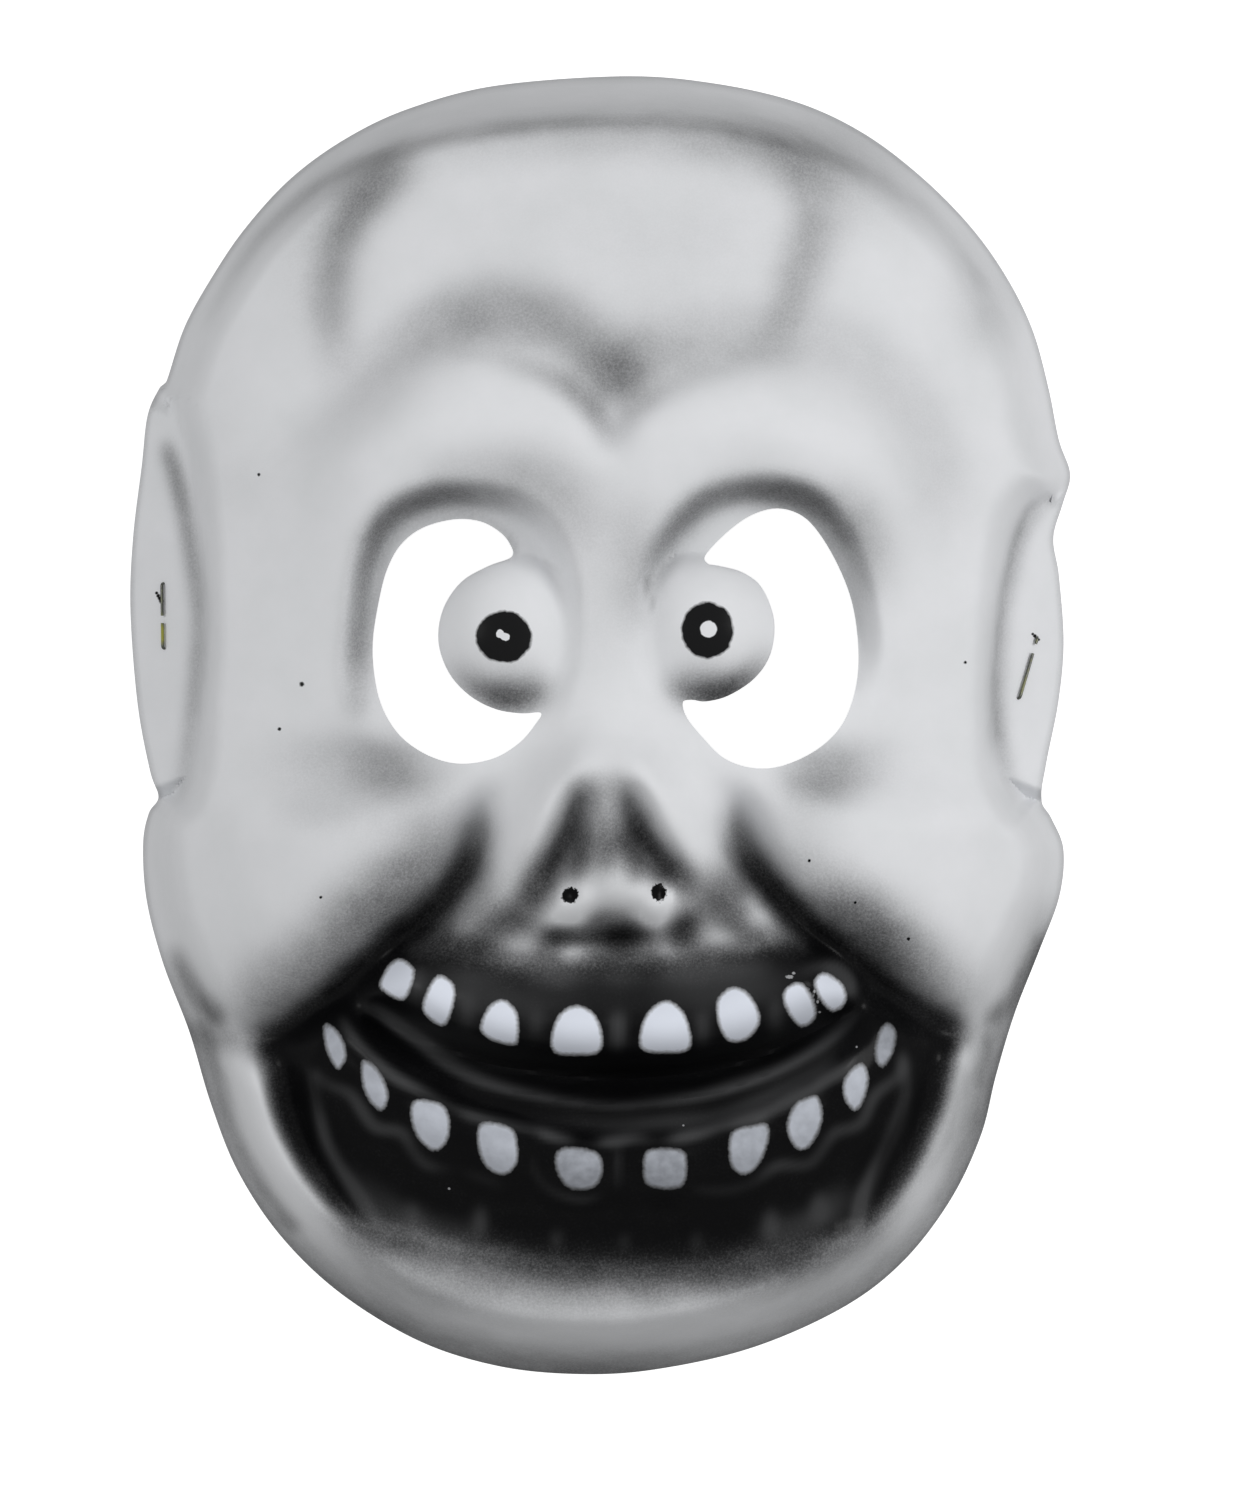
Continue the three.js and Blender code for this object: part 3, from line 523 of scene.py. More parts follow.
def to_outline(u, v):
    """Places on the mask, in millimetres, for places in a square from -1 to 1."""
    x = u * np.sqrt(1 - v * v / 2)
    y = v * np.sqrt(1 - u * u / 2)
    angle = np.arctan2(y, x)
    order = np.argsort(rim_angle)
    radius = np.interp(angle, rim_angle[order], rim_radius[order], period=2 * math.pi)
    radius = radius * np.minimum(np.hypot(x, y), 1)
    return radius * np.cos(angle), radius * np.sin(angle)


print("the rim's radius runs from", round(rim_radius.min()), "to", round(rim_radius.max()), "mm")

# %% [markdown]
# The outer skin is that grid, with every point lifted to the skin's height. The grid's points are gathered
# into arrays, which numpy can work on all at once, and are then set to their new places one by one.

# %% The outer skin
OUTER_COLUMNS = 226
OUTER_ROWS = 288
ON_RIM = 1 - 1e-4               # how far out in the square a point counts as on its edge


def grid_sheet(columns, rows):
    """A grid in the mask's outline, with its plan places in millimetres and which points are on the rim."""
    sheet = bmesh.new()
    bmesh.ops.create_grid(sheet, x_segments=columns, y_segments=rows, size=1)
    square = np.array([vertex.co[:2] for vertex in sheet.verts])
    u = np.interp(square[:, 0], np.linspace(-1, 1, columns + 1), grid_lines(SPACING_ACROSS, columns))
    v = np.interp(square[:, 1], np.linspace(-1, 1, rows + 1), grid_lines(SPACING_ALONG, rows))
    on_rim = np.abs(square).max(axis=1) > ON_RIM
    return sheet, *to_outline(u, v), on_rim


def rim_height(x, y):
    z = np.zeros(x.shape)
    for tab in TABS:
        z = np.where(x * tab["side"] > TABS_BEYOND, tab_height(tab, x, y), z)
    return z


def set_points(sheet, x, y, z):
    for vertex, place in zip(sheet.verts, np.stack([x, y, z], axis=1) * MM):
        vertex.co = place


outer, outer_x, outer_y, outer_on_rim = grid_sheet(OUTER_COLUMNS, OUTER_ROWS)
outer_z = np.where(outer_on_rim, rim_height(outer_x, outer_y), skin_height(outer_x, outer_y))
set_points(outer, outer_x, outer_y, outer_z)
print("outer skin:", len(outer.faces), "faces, highest point", round(outer_z.max(), 1), "mm")

# %% [markdown]
# The inner skin lies one foam thickness behind the outer one. Moving each point straight back would fold
# the sheet in tight creases. Instead a ball as big as the foam is thick rolls over the outer skin, and the
# inner skin is the lowest line that the ball reaches. That needs the heights around every point, so the
# skin is first read onto an even plate of heights.

# %% Rolling a ball behind the skin
FOAM = 2.2
PLATE_STEP = 0.55
PLATE_HALF = (95, 130)
plate_x, plate_y = np.meshgrid(*[np.arange(-half, half, PLATE_STEP) for half in PLATE_HALF])
plate = skin_height(plate_x, plate_y)


def rolled_under(heights):
    reach = int(FOAM / PLATE_STEP)
    lowest = heights - FOAM
    for i in range(-reach, reach + 1):
        for j in range(-reach, reach + 1):
            drop = math.sqrt(max(FOAM ** 2 - (i * i + j * j) * PLATE_STEP ** 2, 0))
            if i * i + j * j <= reach * reach:
                lowest = np.minimum(lowest, np.roll(heights, (i, j), (0, 1)) - drop)
    return np.clip(lowest, 0, None)


def read_plate(heights, x, y):
    """Heights between the plate's points, blended from the four nearest."""
    column = (x + PLATE_HALF[0]) / PLATE_STEP
    row = (y + PLATE_HALF[1]) / PLATE_STEP
    i, j = row.astype(int), column.astype(int)
    a, b = row - i, column - j
    lower = heights[i, j] * (1 - b) + heights[i, j + 1] * b
    upper = heights[i + 1, j] * (1 - b) + heights[i + 1, j + 1] * b
    return lower * (1 - a) + upper * a


inner_plate = rolled_under(plate)
print("the plate has", plate.size, "heights")

# %% [markdown]
# Near the rim the wall is so steep that behind means sideways. There the inner points also move inwards,
# against the direction in which the wall leans. The inner skin is hidden most of the time, so its grid has
# half as many lines each way.

# %% The inner skin
INWARD_REACH = 12               # how far in from the rim the inner points still move inwards
RIM_SAMPLE = 1.8                # how far in from the rim the wall's lean is read
slope_y, slope_x = np.gradient(plate, PLATE_STEP)
steep = np.sqrt(1 + slope_x ** 2 + slope_y ** 2)

inner, inner_x, inner_y, inner_on_rim = grid_sheet(OUTER_COLUMNS // 2, OUTER_ROWS // 2)
out = np.maximum(np.hypot(inner_x, inner_y), 1)
pull = np.where(inner_on_rim, 1 - RIM_SAMPLE / out, 1)
shift = FOAM * (1 - ease(inside_distance(inner_x, inner_y, rim_ring) / INWARD_REACH))
lean_x = read_plate(-slope_x / steep, inner_x * pull, inner_y * pull)
lean_y = read_plate(-slope_y / steep, inner_x * pull, inner_y * pull)
inner_x = inner_x - shift * lean_x
inner_y = inner_y - shift * lean_y
on_rim_z = np.clip(rim_height(inner_x, inner_y) - FOAM * math.hypot(1, TAB_SLOPE), 0, None)
inner_z = np.where(inner_on_rim, on_rim_z, read_plate(inner_plate, inner_x, inner_y))
set_points(inner, inner_x, inner_y, inner_z)
bmesh.ops.reverse_faces(inner, faces=inner.faces)
print("inner skin:", len(inner.faces), "faces")

# %% [markdown]
# The two skins now become one closed shell. Both grids go into one bmesh, and a bridge between their two
# rims makes the cut edge that the mask lies on. Each face remembers which side it is on, because only the
# outside is sprayed. A closed shell has two faces at every edge, which is tested here, and a volume above
# nought, which is printed.

# %% One closed shell
OUTSIDE, BARE = 0, 1            # material slots


def joined_shell(outside, inside):
    shell = bmesh.new()
    for sheet, slot in ((outside, OUTSIDE), (inside, BARE)):
        for face in sheet.faces:
            face.material_index = slot
        part = bpy.data.meshes.new("skin")
        sheet.to_mesh(part)
        sheet.free()
        shell.from_mesh(part)
        bpy.data.meshes.remove(part)
    rims = [edge for edge in shell.edges if edge.is_boundary]
    bridge = bmesh.ops.bridge_loops(shell, edges=rims)
    for face in bridge["faces"]:
        face.material_index = BARE
    bmesh.ops.recalc_face_normals(shell, faces=shell.faces)
    return shell


shell = joined_shell(outer, inner)
assert all(edge.is_contiguous for edge in shell.edges), "the shell is open or folded"
print("shell:", len(shell.faces), "faces, foam volume", round(shell.calc_volume() / MM ** 3 / 1000, 1), "cm3")

# %% [markdown]
# The eye holes are punched straight through. The punch is a prism: a circle whose points are moved onto the
# hole's outline, pulled up through the mask. A Boolean modifier takes the punches away and is then applied,
# which leaves crisp walls, as a cutting die does. The nostrils aren't punched: they are small blind pits,
# and the black later put in them is painted shade for the dark inside of a breathing hole.

# %% Punches for the holes
EYE_HOLES = [
    [(-17.0, 32.2), (-17.3, 34.6), (-19.3, 37), (-23, 39.0), (-28, 39.4), (-34, 37.8), (-38.2, 34.6),
     (-40.8, 30), (-42.4, 24), (-43.6, 16), (-43.2, 9), (-41.6, 3), (-38.2, -2.2), (-33, -5.8), (-27, -7.4),
     (-20.5, -6.4), (-15.5, -3.4), (-12.4, 0.2), (-11.4, 2.3), (-15, 2.2), (-20, 3.0), (-25, 5.6),
     (-29, 10.0), (-31.0, 16), (-30.1, 22.2), (-26.6, 27.4), (-21.5, 30.4)],
    [(20.2, 32.6), (20.6, 30.9), (22.6, 30.5), (27.3, 29.2), (31.0, 26.2), (33.3, 20), (32.6, 13.6),
     (29.5, 8.9), (24.5, 5.6), (20.2, 4.5), (17.5, 4.8), (15.8, 4.3), (16.6, 1.4), (19.8, -2.6), (23.5, -6.2),
     (28, -8.0), (33, -8.2), (38.5, -6.4), (43.2, -3.4), (46.6, 0.6), (48.8, 6.5), (49.5, 13.4), (48.6, 22),
     (46.3, 29), (42.6, 35.8), (38.8, 40.0), (34, 41.5), (29, 40.2), (24.4, 37)],
]
PUNCH_FROM, PUNCH_TO = -10, 90


def add_punch(punches, outline):
    made = bmesh.ops.create_circle(punches, cap_ends=True, segments=len(outline), radius=1)
    for vertex, (x, y) in zip(made["verts"], outline):
        vertex.co = (x * MM, y * MM, PUNCH_FROM * MM)
    cap = made["verts"][0].link_faces[0]
    pulled = bmesh.ops.extrude_face_region(punches, geom=[cap])
    top = [item for item in pulled["geom"] if isinstance(item, bmesh.types.BMVert)]
    bmesh.ops.translate(punches, verts=top, vec=(0, 0, (PUNCH_TO - PUNCH_FROM) * MM))


punches = bmesh.new()
for points in EYE_HOLES:
    add_punch(punches, curve_through(points, closed=True, steps=5))
bmesh.ops.recalc_face_normals(punches, faces=punches.faces)
print("punches:", len(punches.faces), "faces")

# %% [markdown]
# Blender cuts with objects, so the shell and the punches each become one for a moment. Both get the same
# two material slots, which lets the walls of the holes come out as bare foam.

# %% Cutting the holes
SHARP_ANGLE = 50
foam_slots = [bpy.data.materials.new("sprayed foam"), bpy.data.materials.new("bare foam")]


def mesh_object(name, source):
    mesh = bpy.data.meshes.new(name)
    source.to_mesh(mesh)
    source.free()
    made = bpy.data.objects.new(name, mesh)
    bpy.context.scene.collection.objects.link(made)
    return made


def cut_away(piece, cutter):
    cut = piece.modifiers.new("punch", "BOOLEAN")
    cut.object = cutter
    cut.operation = "DIFFERENCE"
    cut.solver = "EXACT"
    finished = bpy.data.meshes.new_from_object(piece.evaluated_get(bpy.context.evaluated_depsgraph_get()))
    piece.modifiers.clear()
    piece.data = finished
    bpy.data.objects.remove(cutter)


for face in punches.faces:
    face.material_index = BARE
mask = mesh_object("foam_mask", shell)
punch_object = mesh_object("punches", punches)
for made in (mask, punch_object):
    for material in foam_slots:
        made.data.materials.append(material)
cut_away(mask, punch_object)
mask.data.shade_smooth()
mask.data.set_sharp_from_angle(angle=math.radians(SHARP_ANGLE))
mask.data.calc_loop_triangles()
print("mask:", len(mask.data.loop_triangles), "triangles")

# %% [markdown]
# The grey and black on the mask come mostly from an airbrush, and some passes are painted shade on the
# walls, in the creases and along the cut edges. Each pass is a blurred line with a width, and each stop on
# the line says how much black went down there. The amounts of all passes add up, as coats of thin paint do,
# and the material later turns the sum into a shade. The sum is kept on the mesh as an attribute, because
# the spray follows the pressed forms.

# %% Airbrush passes on the brow
BROW_PASSES = {                 # width, then stops of x, y and amount
    "forehead line": (1.6, [
        (-76, 76, 0.02), (-71, 86, 0.14), (-65.1, 94.2, 0.27), (-55.9, 102.5, 0.32), (-47.8, 107.1, 0.34),
        (-30.9, 112.5, 0.3), (-7.8, 115.4, 0.42), (17.2, 115.4, 0.28), (34.5, 112.1, 0.3), (48, 107.7, 0.26),
        (63.4, 98.1, 0.1), (73.9, 83.7, 0.14)]),
    "forehead haze": (5.2, [
        (-70, 87, 0.02), (-56, 100.5, 0.02), (-43, 107.5, 0.0), (-25, 112, 0.2), (0, 113.8, 0.3),
        (20, 113.2, 0.44), (36, 110, 0.66), (50, 104, 0.18), (62, 95, 0.1)]),
    # painted shade on the steep upper wall, which turns away from the light
    "painted shade on the right upper wall": (4.5, [
        (38, 116, 0.08), (52, 110.5, 0.16), (62, 102, 0.05), (72, 91, 0.05), (80, 78, 0.03)]),
    "forehead tone": (15, [
        (-30, 97, 0.03), (-18, 95, 0.06), (-6, 94, 0.08), (8, 92, 0.09), (24, 93, 0.12), (32, 101, 0.07)]),
    "left suture": (4.4, [
        (-36, 109.5, 0.18), (-42.5, 104.5, 1.12), (-48, 98.1, 0.8), (-51, 90.4, 0.56), (-52, 81.7, 0.48),
        (-51, 72.1, 0.28), (-49, 66, 0.04)]),
    "left suture haze": (6.5, [
        (-46, 107, 0.1), (-52, 101, 0.14), (-56, 93, 0.12), (-57, 82, 0.08), (-56, 72, 0.02)]),
    # painted shade on the wall at the right temple
    "painted shade on the right temple": (5.5, [(69, 90, 0.0), (73.5, 79, 0.24), (75, 70, 0.02)]),
    "right suture haze": (5.0, [(41, 108, 0.06), (46, 101, 0.2), (46, 92, 0.06), (42, 84, 0.0)]),
    "right suture": (4.4, [
        (34, 110.5, 0.5), (38.4, 105.5, 0.28), (41, 97, 0.46), (39, 90, 0.58), (36.8, 82, 0.5),
        (34.4, 75, 0.24), (30, 70, 0.06)]),
    "left brow valley": (5.8, [
        (-69.3, 49, 0.02), (-63.6, 52.9, 0.02), (-53.9, 58.7, 0.08), (-46.3, 64.4, 0.16), (-38.6, 72.1, 0.34),
        (-28.9, 77.4, 0.66), (-19.3, 78.8, 0.68), (-9.7, 77.2, 0.66), (-2, 72.2, 0.7), (3.7, 68.3, 0.3)]),
    "right brow valley": (6.5, [
        (3.7, 68.3, 0.4), (9.5, 71.5, 0.46), (19.1, 73.4, 0.34), (34.4, 74.4, 0.26), (48, 72.1, 0.2),
        (57.6, 64.4, 0.18), (63.4, 54.8, 0.16), (65.3, 45.2, 0.18), (63.4, 37.5, 0.04)]),
    "dimple": (5.0, [(-0.5, 69, 0.6), (2.6, 65.6, 1.35), (6.2, 68, 0.5)]),
    "left lobe edge": (2.2, [
        (-30, 71, 0.04), (-20, 70.5, 0.14), (-10, 67, 0.36), (-4, 63, 0.66), (0, 58.5, 0.54), (2, 53, 0.1)]),
    "right lobe edge": (2.2, [
        (3, 54, 0.06), (5.5, 59.5, 0.18), (10, 63.5, 0.2), (17, 67.5, 0.12), (29, 70.5, 0.12),
        (40, 71, 0.02)]),
    "bridge haze": (7.0, [(-15, 48.5, 0.5), (-7, 43, 0.36), (0, 39, 0.16), (1, 30, 0.1), (1, 12, 0.09)]),
}
print(len(BROW_PASSES), "passes on the brow")

# %% [markdown]
# Dark crescents round the sockets and under the balls make the eyes look deep set. They are the narrowest
# and strongest passes on the upper face, with a wide faint one beside each, as where the airbrush was held
# further off. One hair-thin pass is a fine grey line beside the right ball.

# %% Airbrush passes round the eyes
EYE_PASSES = {
    "left socket": (2.7, [
        (-46.1, 2, 0.46), (-46.7, 8, 0.5), (-46.6, 15, 1.0), (-45.9, 22, 0.86), (-44.8, 30, 1.0),
        (-43.2, 35.6, 1.4), (-39.3, 40.7, 1.46), (-32.8, 43.5, 1.3), (-26, 44.3, 1.1), (-19, 43.6, 0.66),
        (-12, 41.2, 0.06), (-8.5, 36, 0.0)]),
    "left socket haze": (3.6, [(-34, 47.5, 0.06), (-26, 49, 0.2), (-18, 48.6, 0.2), (-12, 46, 0.04)]),
    "right socket": (2.7, [
        (9.2, 26, 0.12), (10.2, 31, 0.5), (12.3, 34.6, 0.9), (15.6, 39, 1.1), (20, 42.8, 1.16),
        (26, 44.9, 1.1), (33, 45, 1.46), (39, 43.7, 1.76), (43.4, 40.8, 1.26), (47.2, 35.8, 0.7),
        (49.2, 30, 0.36), (50.6, 23, 0.1), (51.2, 16, 0.0)]),
    "right socket haze": (5.0, [
        (24, 49, 0.1), (34, 49.4, 0.0), (43, 46, 0.0), (48.4, 40, 0.5), (50.8, 35, 0.46), (52.5, 28, 0.16),
        (54, 20, 0.0)]),
    "grey line beside the right ball": (0.55, [
        (8.4, 28.8, 0.1), (9.2, 27.2, 0.45), (9.1, 25.4, 0.3), (9.8, 23.6, 0.26), (10, 21.6, 0.1)]),
    "bridge shade right": (4.6, [(8, 42, 0.24), (6.6, 34, 0.24), (6.6, 26, 0.28), (7.2, 18, 0.12)]),
    "bridge shade left": (4.6, [(-8, 40, 0.14), (-5.5, 33, 0.06), (-5.2, 24, 0.02)]),
    "under left ball": (2.9, [
        (-28.8, 12, 0.0), (-26.5, 9, 0.4), (-23, 6.4, 0.95), (-18.5, 5, 1.75), (-13.5, 5.4, 1.4),
        (-10.5, 8, 0.35)]),
    "under left ball haze": (4.0, [(-24, 9.5, 0.06), (-18, 8.4, 0.22), (-13, 9, 0.26)]),
    "under right ball": (2.9, [
        (13.5, 9, 0.0), (15.5, 7, 1.0), (18.5, 5.6, 1.5), (22.5, 5.8, 2.7), (27, 7.4, 1.46),
        (30.3, 10.6, 0.48), (32.3, 14.5, 0.05)]),
    "under right ball haze": (4.0, [(17, 9, 0.36), (21.5, 8.6, 0.32), (26, 10.5, 0.0)]),
    "left hollow": (5.6, [
        (-66, -8, 0.02), (-56, -7.5, 0.3), (-48, -7.5, 0.44), (-41.5, -8.6, 1.0), (-33, -11, 0.2),
        (-26, -13, 0.0)]),
    "right hollow": (5.2, [
        (28, -12, 0.0), (35, -11.5, 0.04), (42, -10.4, 1.1), (48, -8.8, 0.48), (56, -7.5, 0.08),
        (66, -9, 0.04)]),
}
print(len(EYE_PASSES), "passes round the eyes")

# %% [markdown]
# A skull has a hole where the nose was. Here it is suggested by two dark pits that run down beside a grey
# septum, and by darker paint under the wings and the tip.

# %% Airbrush passes on the nose
NOSE_PASSES = {
    "left nose pit": (3.0, [
        (-2.6, -11.6, 1.25), (-3.6, -14.5, 1.3), (-5.5, -18.5, 1.5), (-7.2, -22.5, 1.7), (-9.3, -26.5, 1.75),
        (-11.6, -30.5, 2.4), (-13, -34, 2.9)]),
    "left of the septum": (2.2, [(-3.2, -18.5, 0.55), (-3.6, -22.5, 1.75), (-4.2, -26, 1.6), (-5, -29, 1.5)]),
    "right nose pit": (3.0, [
        (4.2, -11.6, 1.35), (5.2, -14.5, 0.5), (6.7, -18.5, 1.75), (8.2, -22.5, 2.1), (11.3, -26.5, 2.5),
        (14.8, -29, 2.6), (17, -32.4, 0.6)]),
    "right of the septum": (2.2, [(4.8, -18.5, 0.0), (5.2, -22.5, 1.7), (6.2, -26, 1.15), (7, -29.4, 1.15)]),
    "septum": (3.4, [(1.2, -9.5, 0.28), (1.2, -15, 0.44), (1, -21, 1.35), (1, -25, 1.8), (1, -27.6, 0.5)]),
    "left wing": (3.6, [
        (-12, -26, 0.75), (-14.4, -31, 0.15), (-15.8, -35, 0.66), (-15.8, -38, 0.7), (-12.5, -41, 0.75)]),
    "right wing": (3.0, [(18, -33, 0.0), (17.4, -36.4, 0.9), (16.2, -39.4, 4.1), (13.4, -41, 1.3)]),
    "under the tip": (2.0, [
        (-11, -41, 1.65), (-8.5, -40.6, 2.8), (-4, -40.6, 1.7), (0, -40.3, 2.2), (4, -40, 3.1),
        (7.5, -40.3, 2.1), (10.5, -41, 0.8)]),
    "arch under the tip": (2.2, [(-1.8, -38, 1.7), (1, -36.8, 0.9), (3.5, -36.8, 0.75), (6.2, -37.8, 0.9)]),
    "left of the nose": (3.6, [(-21, -27, 0.2), (-22.5, -31, 0.5), (-22, -35, 0.36)]),
    "blot": (2.8, [(1.5, -40.5, 1.1), (3.6, -41.6, 3.1), (5.6, -41.4, 2.6)]),
}
print(len(NOSE_PASSES), "passes on the nose")

# %% [markdown]
# The mouth is sprayed nearly solid. Its darkest part is a closed shape with a soft edge. Wider passes then
# carry the black out over the folds and the cheeks.

# %% The mouth and the folds
MOUTH_SHAPE = [
    (-38.5, -43.6), (-30, -45.8), (-20, -47.6), (-8, -48.5), (4, -48.1), (16, -48), (27, -46.2),
    (36, -43.4), (43, -43.4), (49, -48.8), (55, -53.9), (61, -58.2), (66.4, -60.6), (66.9, -63.5),
    (65.8, -69), (63.8, -75.5), (60.8, -82), (57.2, -88), (53, -93), (46, -96.4), (36, -97.8), (26, -99.8),
    (14, -101), (2, -101.2), (-10, -100.3), (-20, -98.6), (-28, -97.4), (-36, -95), (-43, -93.4),
    (-49.6, -91.6), (-54.6, -87), (-58.2, -81.5), (-61.2, -75), (-62.8, -68), (-64, -62.6), (-61.4, -59.8),
    (-56.5, -57), (-51.5, -53.9), (-46, -49.4),
]
MOUTH_AMOUNT = 7.0
MOUTH_EDGE = (-3.2, 4.5)        # where the edge begins and is solid, across the shape's outline
FOLD_PASSES = {
    "left fold": (3.0, [
        (-22, -16.5, 0.1), (-23.4, -21.5, 0.9), (-25.2, -27, 2.3), (-30.3, -34, 3.4), (-38.5, -41, 4.4),
        (-46.8, -48.4, 4.4), (-57.6, -57.6, 3.8), (-66.4, -61, 1.3)]),
    "right fold": (3.0, [
        (25.2, -16.5, 0.4), (25.9, -21, 1.0), (27.8, -26, 2.45), (30.9, -29.8, 3.5), (35.4, -34.4, 3.7),
        (41.2, -40.4, 4.4), (50.6, -47.8, 4.4), (60.8, -55.8, 4.5), (69.4, -59.8, 2.9)]),
    "left cheek": (7.0, [
        (-28, -19, 0.25), (-31.5, -24.5, 1.0), (-37.5, -31, 1.4), (-45, -38, 1.5), (-53, -45, 0.8),
        (-61, -51.5, 1.1), (-70, -54.5, 0.36)]),
    "right cheek": (6.4, [
        (32, -19.5, 0.0), (35.5, -25, 0.3), (41.5, -31.5, 0.55), (49, -38.5, 2.2), (56.5, -44.5, 1.85),
        (64.5, -50.5, 0.66), (72, -53.5, 0.55)]),
    "left malar": (4.4, [(-62, -16.5, 0.08), (-52, -17, 0.2), (-44, -17.5, 0.12), (-38, -18, 0.0)]),
    "left maxilla": (4.8, [
        (-14.5, -38.5, 0.65), (-19, -38.5, 1.95), (-24.5, -39, 0.95), (-30, -41.5, 0.9), (-36, -43, 0.5)]),
    "right maxilla": (4.6, [
        (22, -29, 0.8), (24.3, -33.5, 2.55), (26, -37, 1.45), (32.6, -41.4, 1.2), (38, -43.2, 2.0)]),
}
print(len(FOLD_PASSES), "passes on the folds and cheeks")

# %% [markdown]
# More passes darken the gum, the chin and the corners of the jaw. A few blots with an amount below nought
# lighten the bumps of the upper gum and the sides of the nose tip. That is partly thin paint, as when a
# form stands out of the spray, and partly a painted highlight where these forms catch the light.

# %% The gum and the chin
GUM_PASSES = {
    "upper gum": (4.0, [
        (-36, -41.5, 0.9), (-28, -43.8, 3.4), (-18, -45, 1.7), (-8, -45.8, 2.15), (4, -46, 2.5),
        (14, -45.8, 2.75), (24, -44.8, 2.3), (34, -43.4, 2.1)]),
    "chin": (4.6, [
        (-48.6, -93.6, 2.2), (-40, -98.2, 1.95), (-25, -101, 1.9), (-10, -102.8, 2.7), (4, -103.2, 2.65),
        (20, -103, 2.6), (35, -101.4, 2.8), (45, -98.8, 1.7), (51.6, -95.4, 2.1)]),
    "left jaw corner": (3.2, [(-57, -86, 0.3), (-52, -90.8, 0.4), (-46, -94.4, 1.25)]),
    "right jaw edge": (2.4, [
        (68.4, -64, 0.0), (68.4, -68, 0.36), (67, -74, 0.36), (65.8, -80, 0.3), (60.8, -86, 0.36),
        (56.6, -92, 0.5), (51.6, -96.4, 0.8)]),
    "left corner haze": (2.6, [(-79, -58.6, 0.65), (-74, -60.6, 0.56), (-69, -60.6, 0.42)]),
    "chin haze": (4.8, [
        (-52, -98.5, 0.0), (-42, -105.5, 0.44), (-28, -109, 0.6), (-10, -110.4, 0.46), (6, -109.8, 0.5),
        (20, -108.4, 0.54), (34, -106, 0.4), (44, -103, 0.2)]),
}
LIT_THIN_SPOTS = [                  # centre, radii, amount taken away
    (-6.6, -37.2, 3.0, 2.2, -0.5), (10.4, -37.2, 3.0, 2.2, -0.55), (13.3, -32, 1.7, 2.2, -0.75),
    (-26, -39.6, 3.4, 3.0, -0.4), (-15.8, -42.2, 4.0, 2.8, -1.15), (-5.2, -43.9, 3.4, 2.3, -1.35),
    (13.6, -43.6, 3.4, 2.2, -1.3), (24.2, -41.2, 4.2, 2.8, -1.0), (30.6, -36.8, 2.6, 2.6, -0.8),
    (33.2, -39.6, 2.4, 2.4, -0.5), (29, -33.6, 2.0, 2.4, -0.6), (29.6, -43, 3.2, 2.4, -0.9),
    (-36.4, -43.8, 2.6, 1.6, -1.0),
]
print(len(GUM_PASSES), "passes on the gum and chin, and", len(LIT_THIN_SPOTS), "thin spots")

# %% [markdown]
# On a ridge the black shines softly. That sheen is painted into the colour as a painted highlight, along
# with the thinner spray that a ridge gets: the lip, the upper edge of the lower gum, the scallops round the
# teeth and the streaks of the roots show as smooth dark grey lines. Each is a blurred line again, but its
# stops say how strong the painted sheen is, from nought to one. It goes onto the mesh as an attribute of its
# own, because it has none of the grain of the spray.

# %% Painted sheen on the lip and the tooth tops
LIP_SHEEN = {                   # width, then stops of x, y and strength of the painted sheen
    "lip": (1.4, [
        (-47, -53.6, 0.1), (-43, -54.6, 0.6), (-39.5, -57, 1.0), (-35, -60.2, 0.9), (-30.5, -63.7, 1.1),
        (-27, -65.9, 1.0), (-23, -67.8, 0.9), (-17, -69.8, 0.66), (-8, -71.9, 0.42), (2, -73, 0.34),
        (11, -72.2, 0.42), (19, -71, 0.66), (27, -68.6, 0.94), (34, -66, 0.86), (41, -62.2, 0.72),
        (46, -58.4, 0.62), (49.5, -55.4, 0.36)]),
    "left tooth tops": (1.3, [
        (-49.8, -56, 0.3), (-47, -60.5, 0.8), (-44.5, -63, 0.7), (-41, -66.3, 1.1), (-37, -68.8, 1.0),
        (-33, -70.6, 0.5), (-28, -73.5, 0.3), (-24.5, -75, 0.74), (-18, -76.4, 0.5), (-12.5, -77.5, 0.4),
        (-10, -78.6, 0.9), (-5, -79.8, 0.3)]),
    "right tooth tops": (1.3, [
        (-1, -79.9, 0.2), (2.6, -79.8, 0.84), (7, -79.2, 0.5), (11.5, -79.8, 0.1), (16, -79, 0.9),
        (20, -78.2, 0.6), (24, -76.7, 0.4), (29, -75.6, 1.0), (33, -74, 0.6), (37, -71.6, 0.9),
        (40.5, -70.2, 0.7), (43.5, -68, 0.8), (47.5, -65.8, 1.0), (50, -63.6, 0.4)]),
    "below the lip": (2.2, [
        (-12, -75.4, 0.1), (2, -76.6, 0.3), (14, -76, 0.5), (22, -75.4, 0.4), (30, -72.6, 0.56),
        (40, -67.8, 0.5), (46, -63, 0.2)]),
}
print(len(LIP_SHEEN), "worn lines along the lip and the tooth tops")
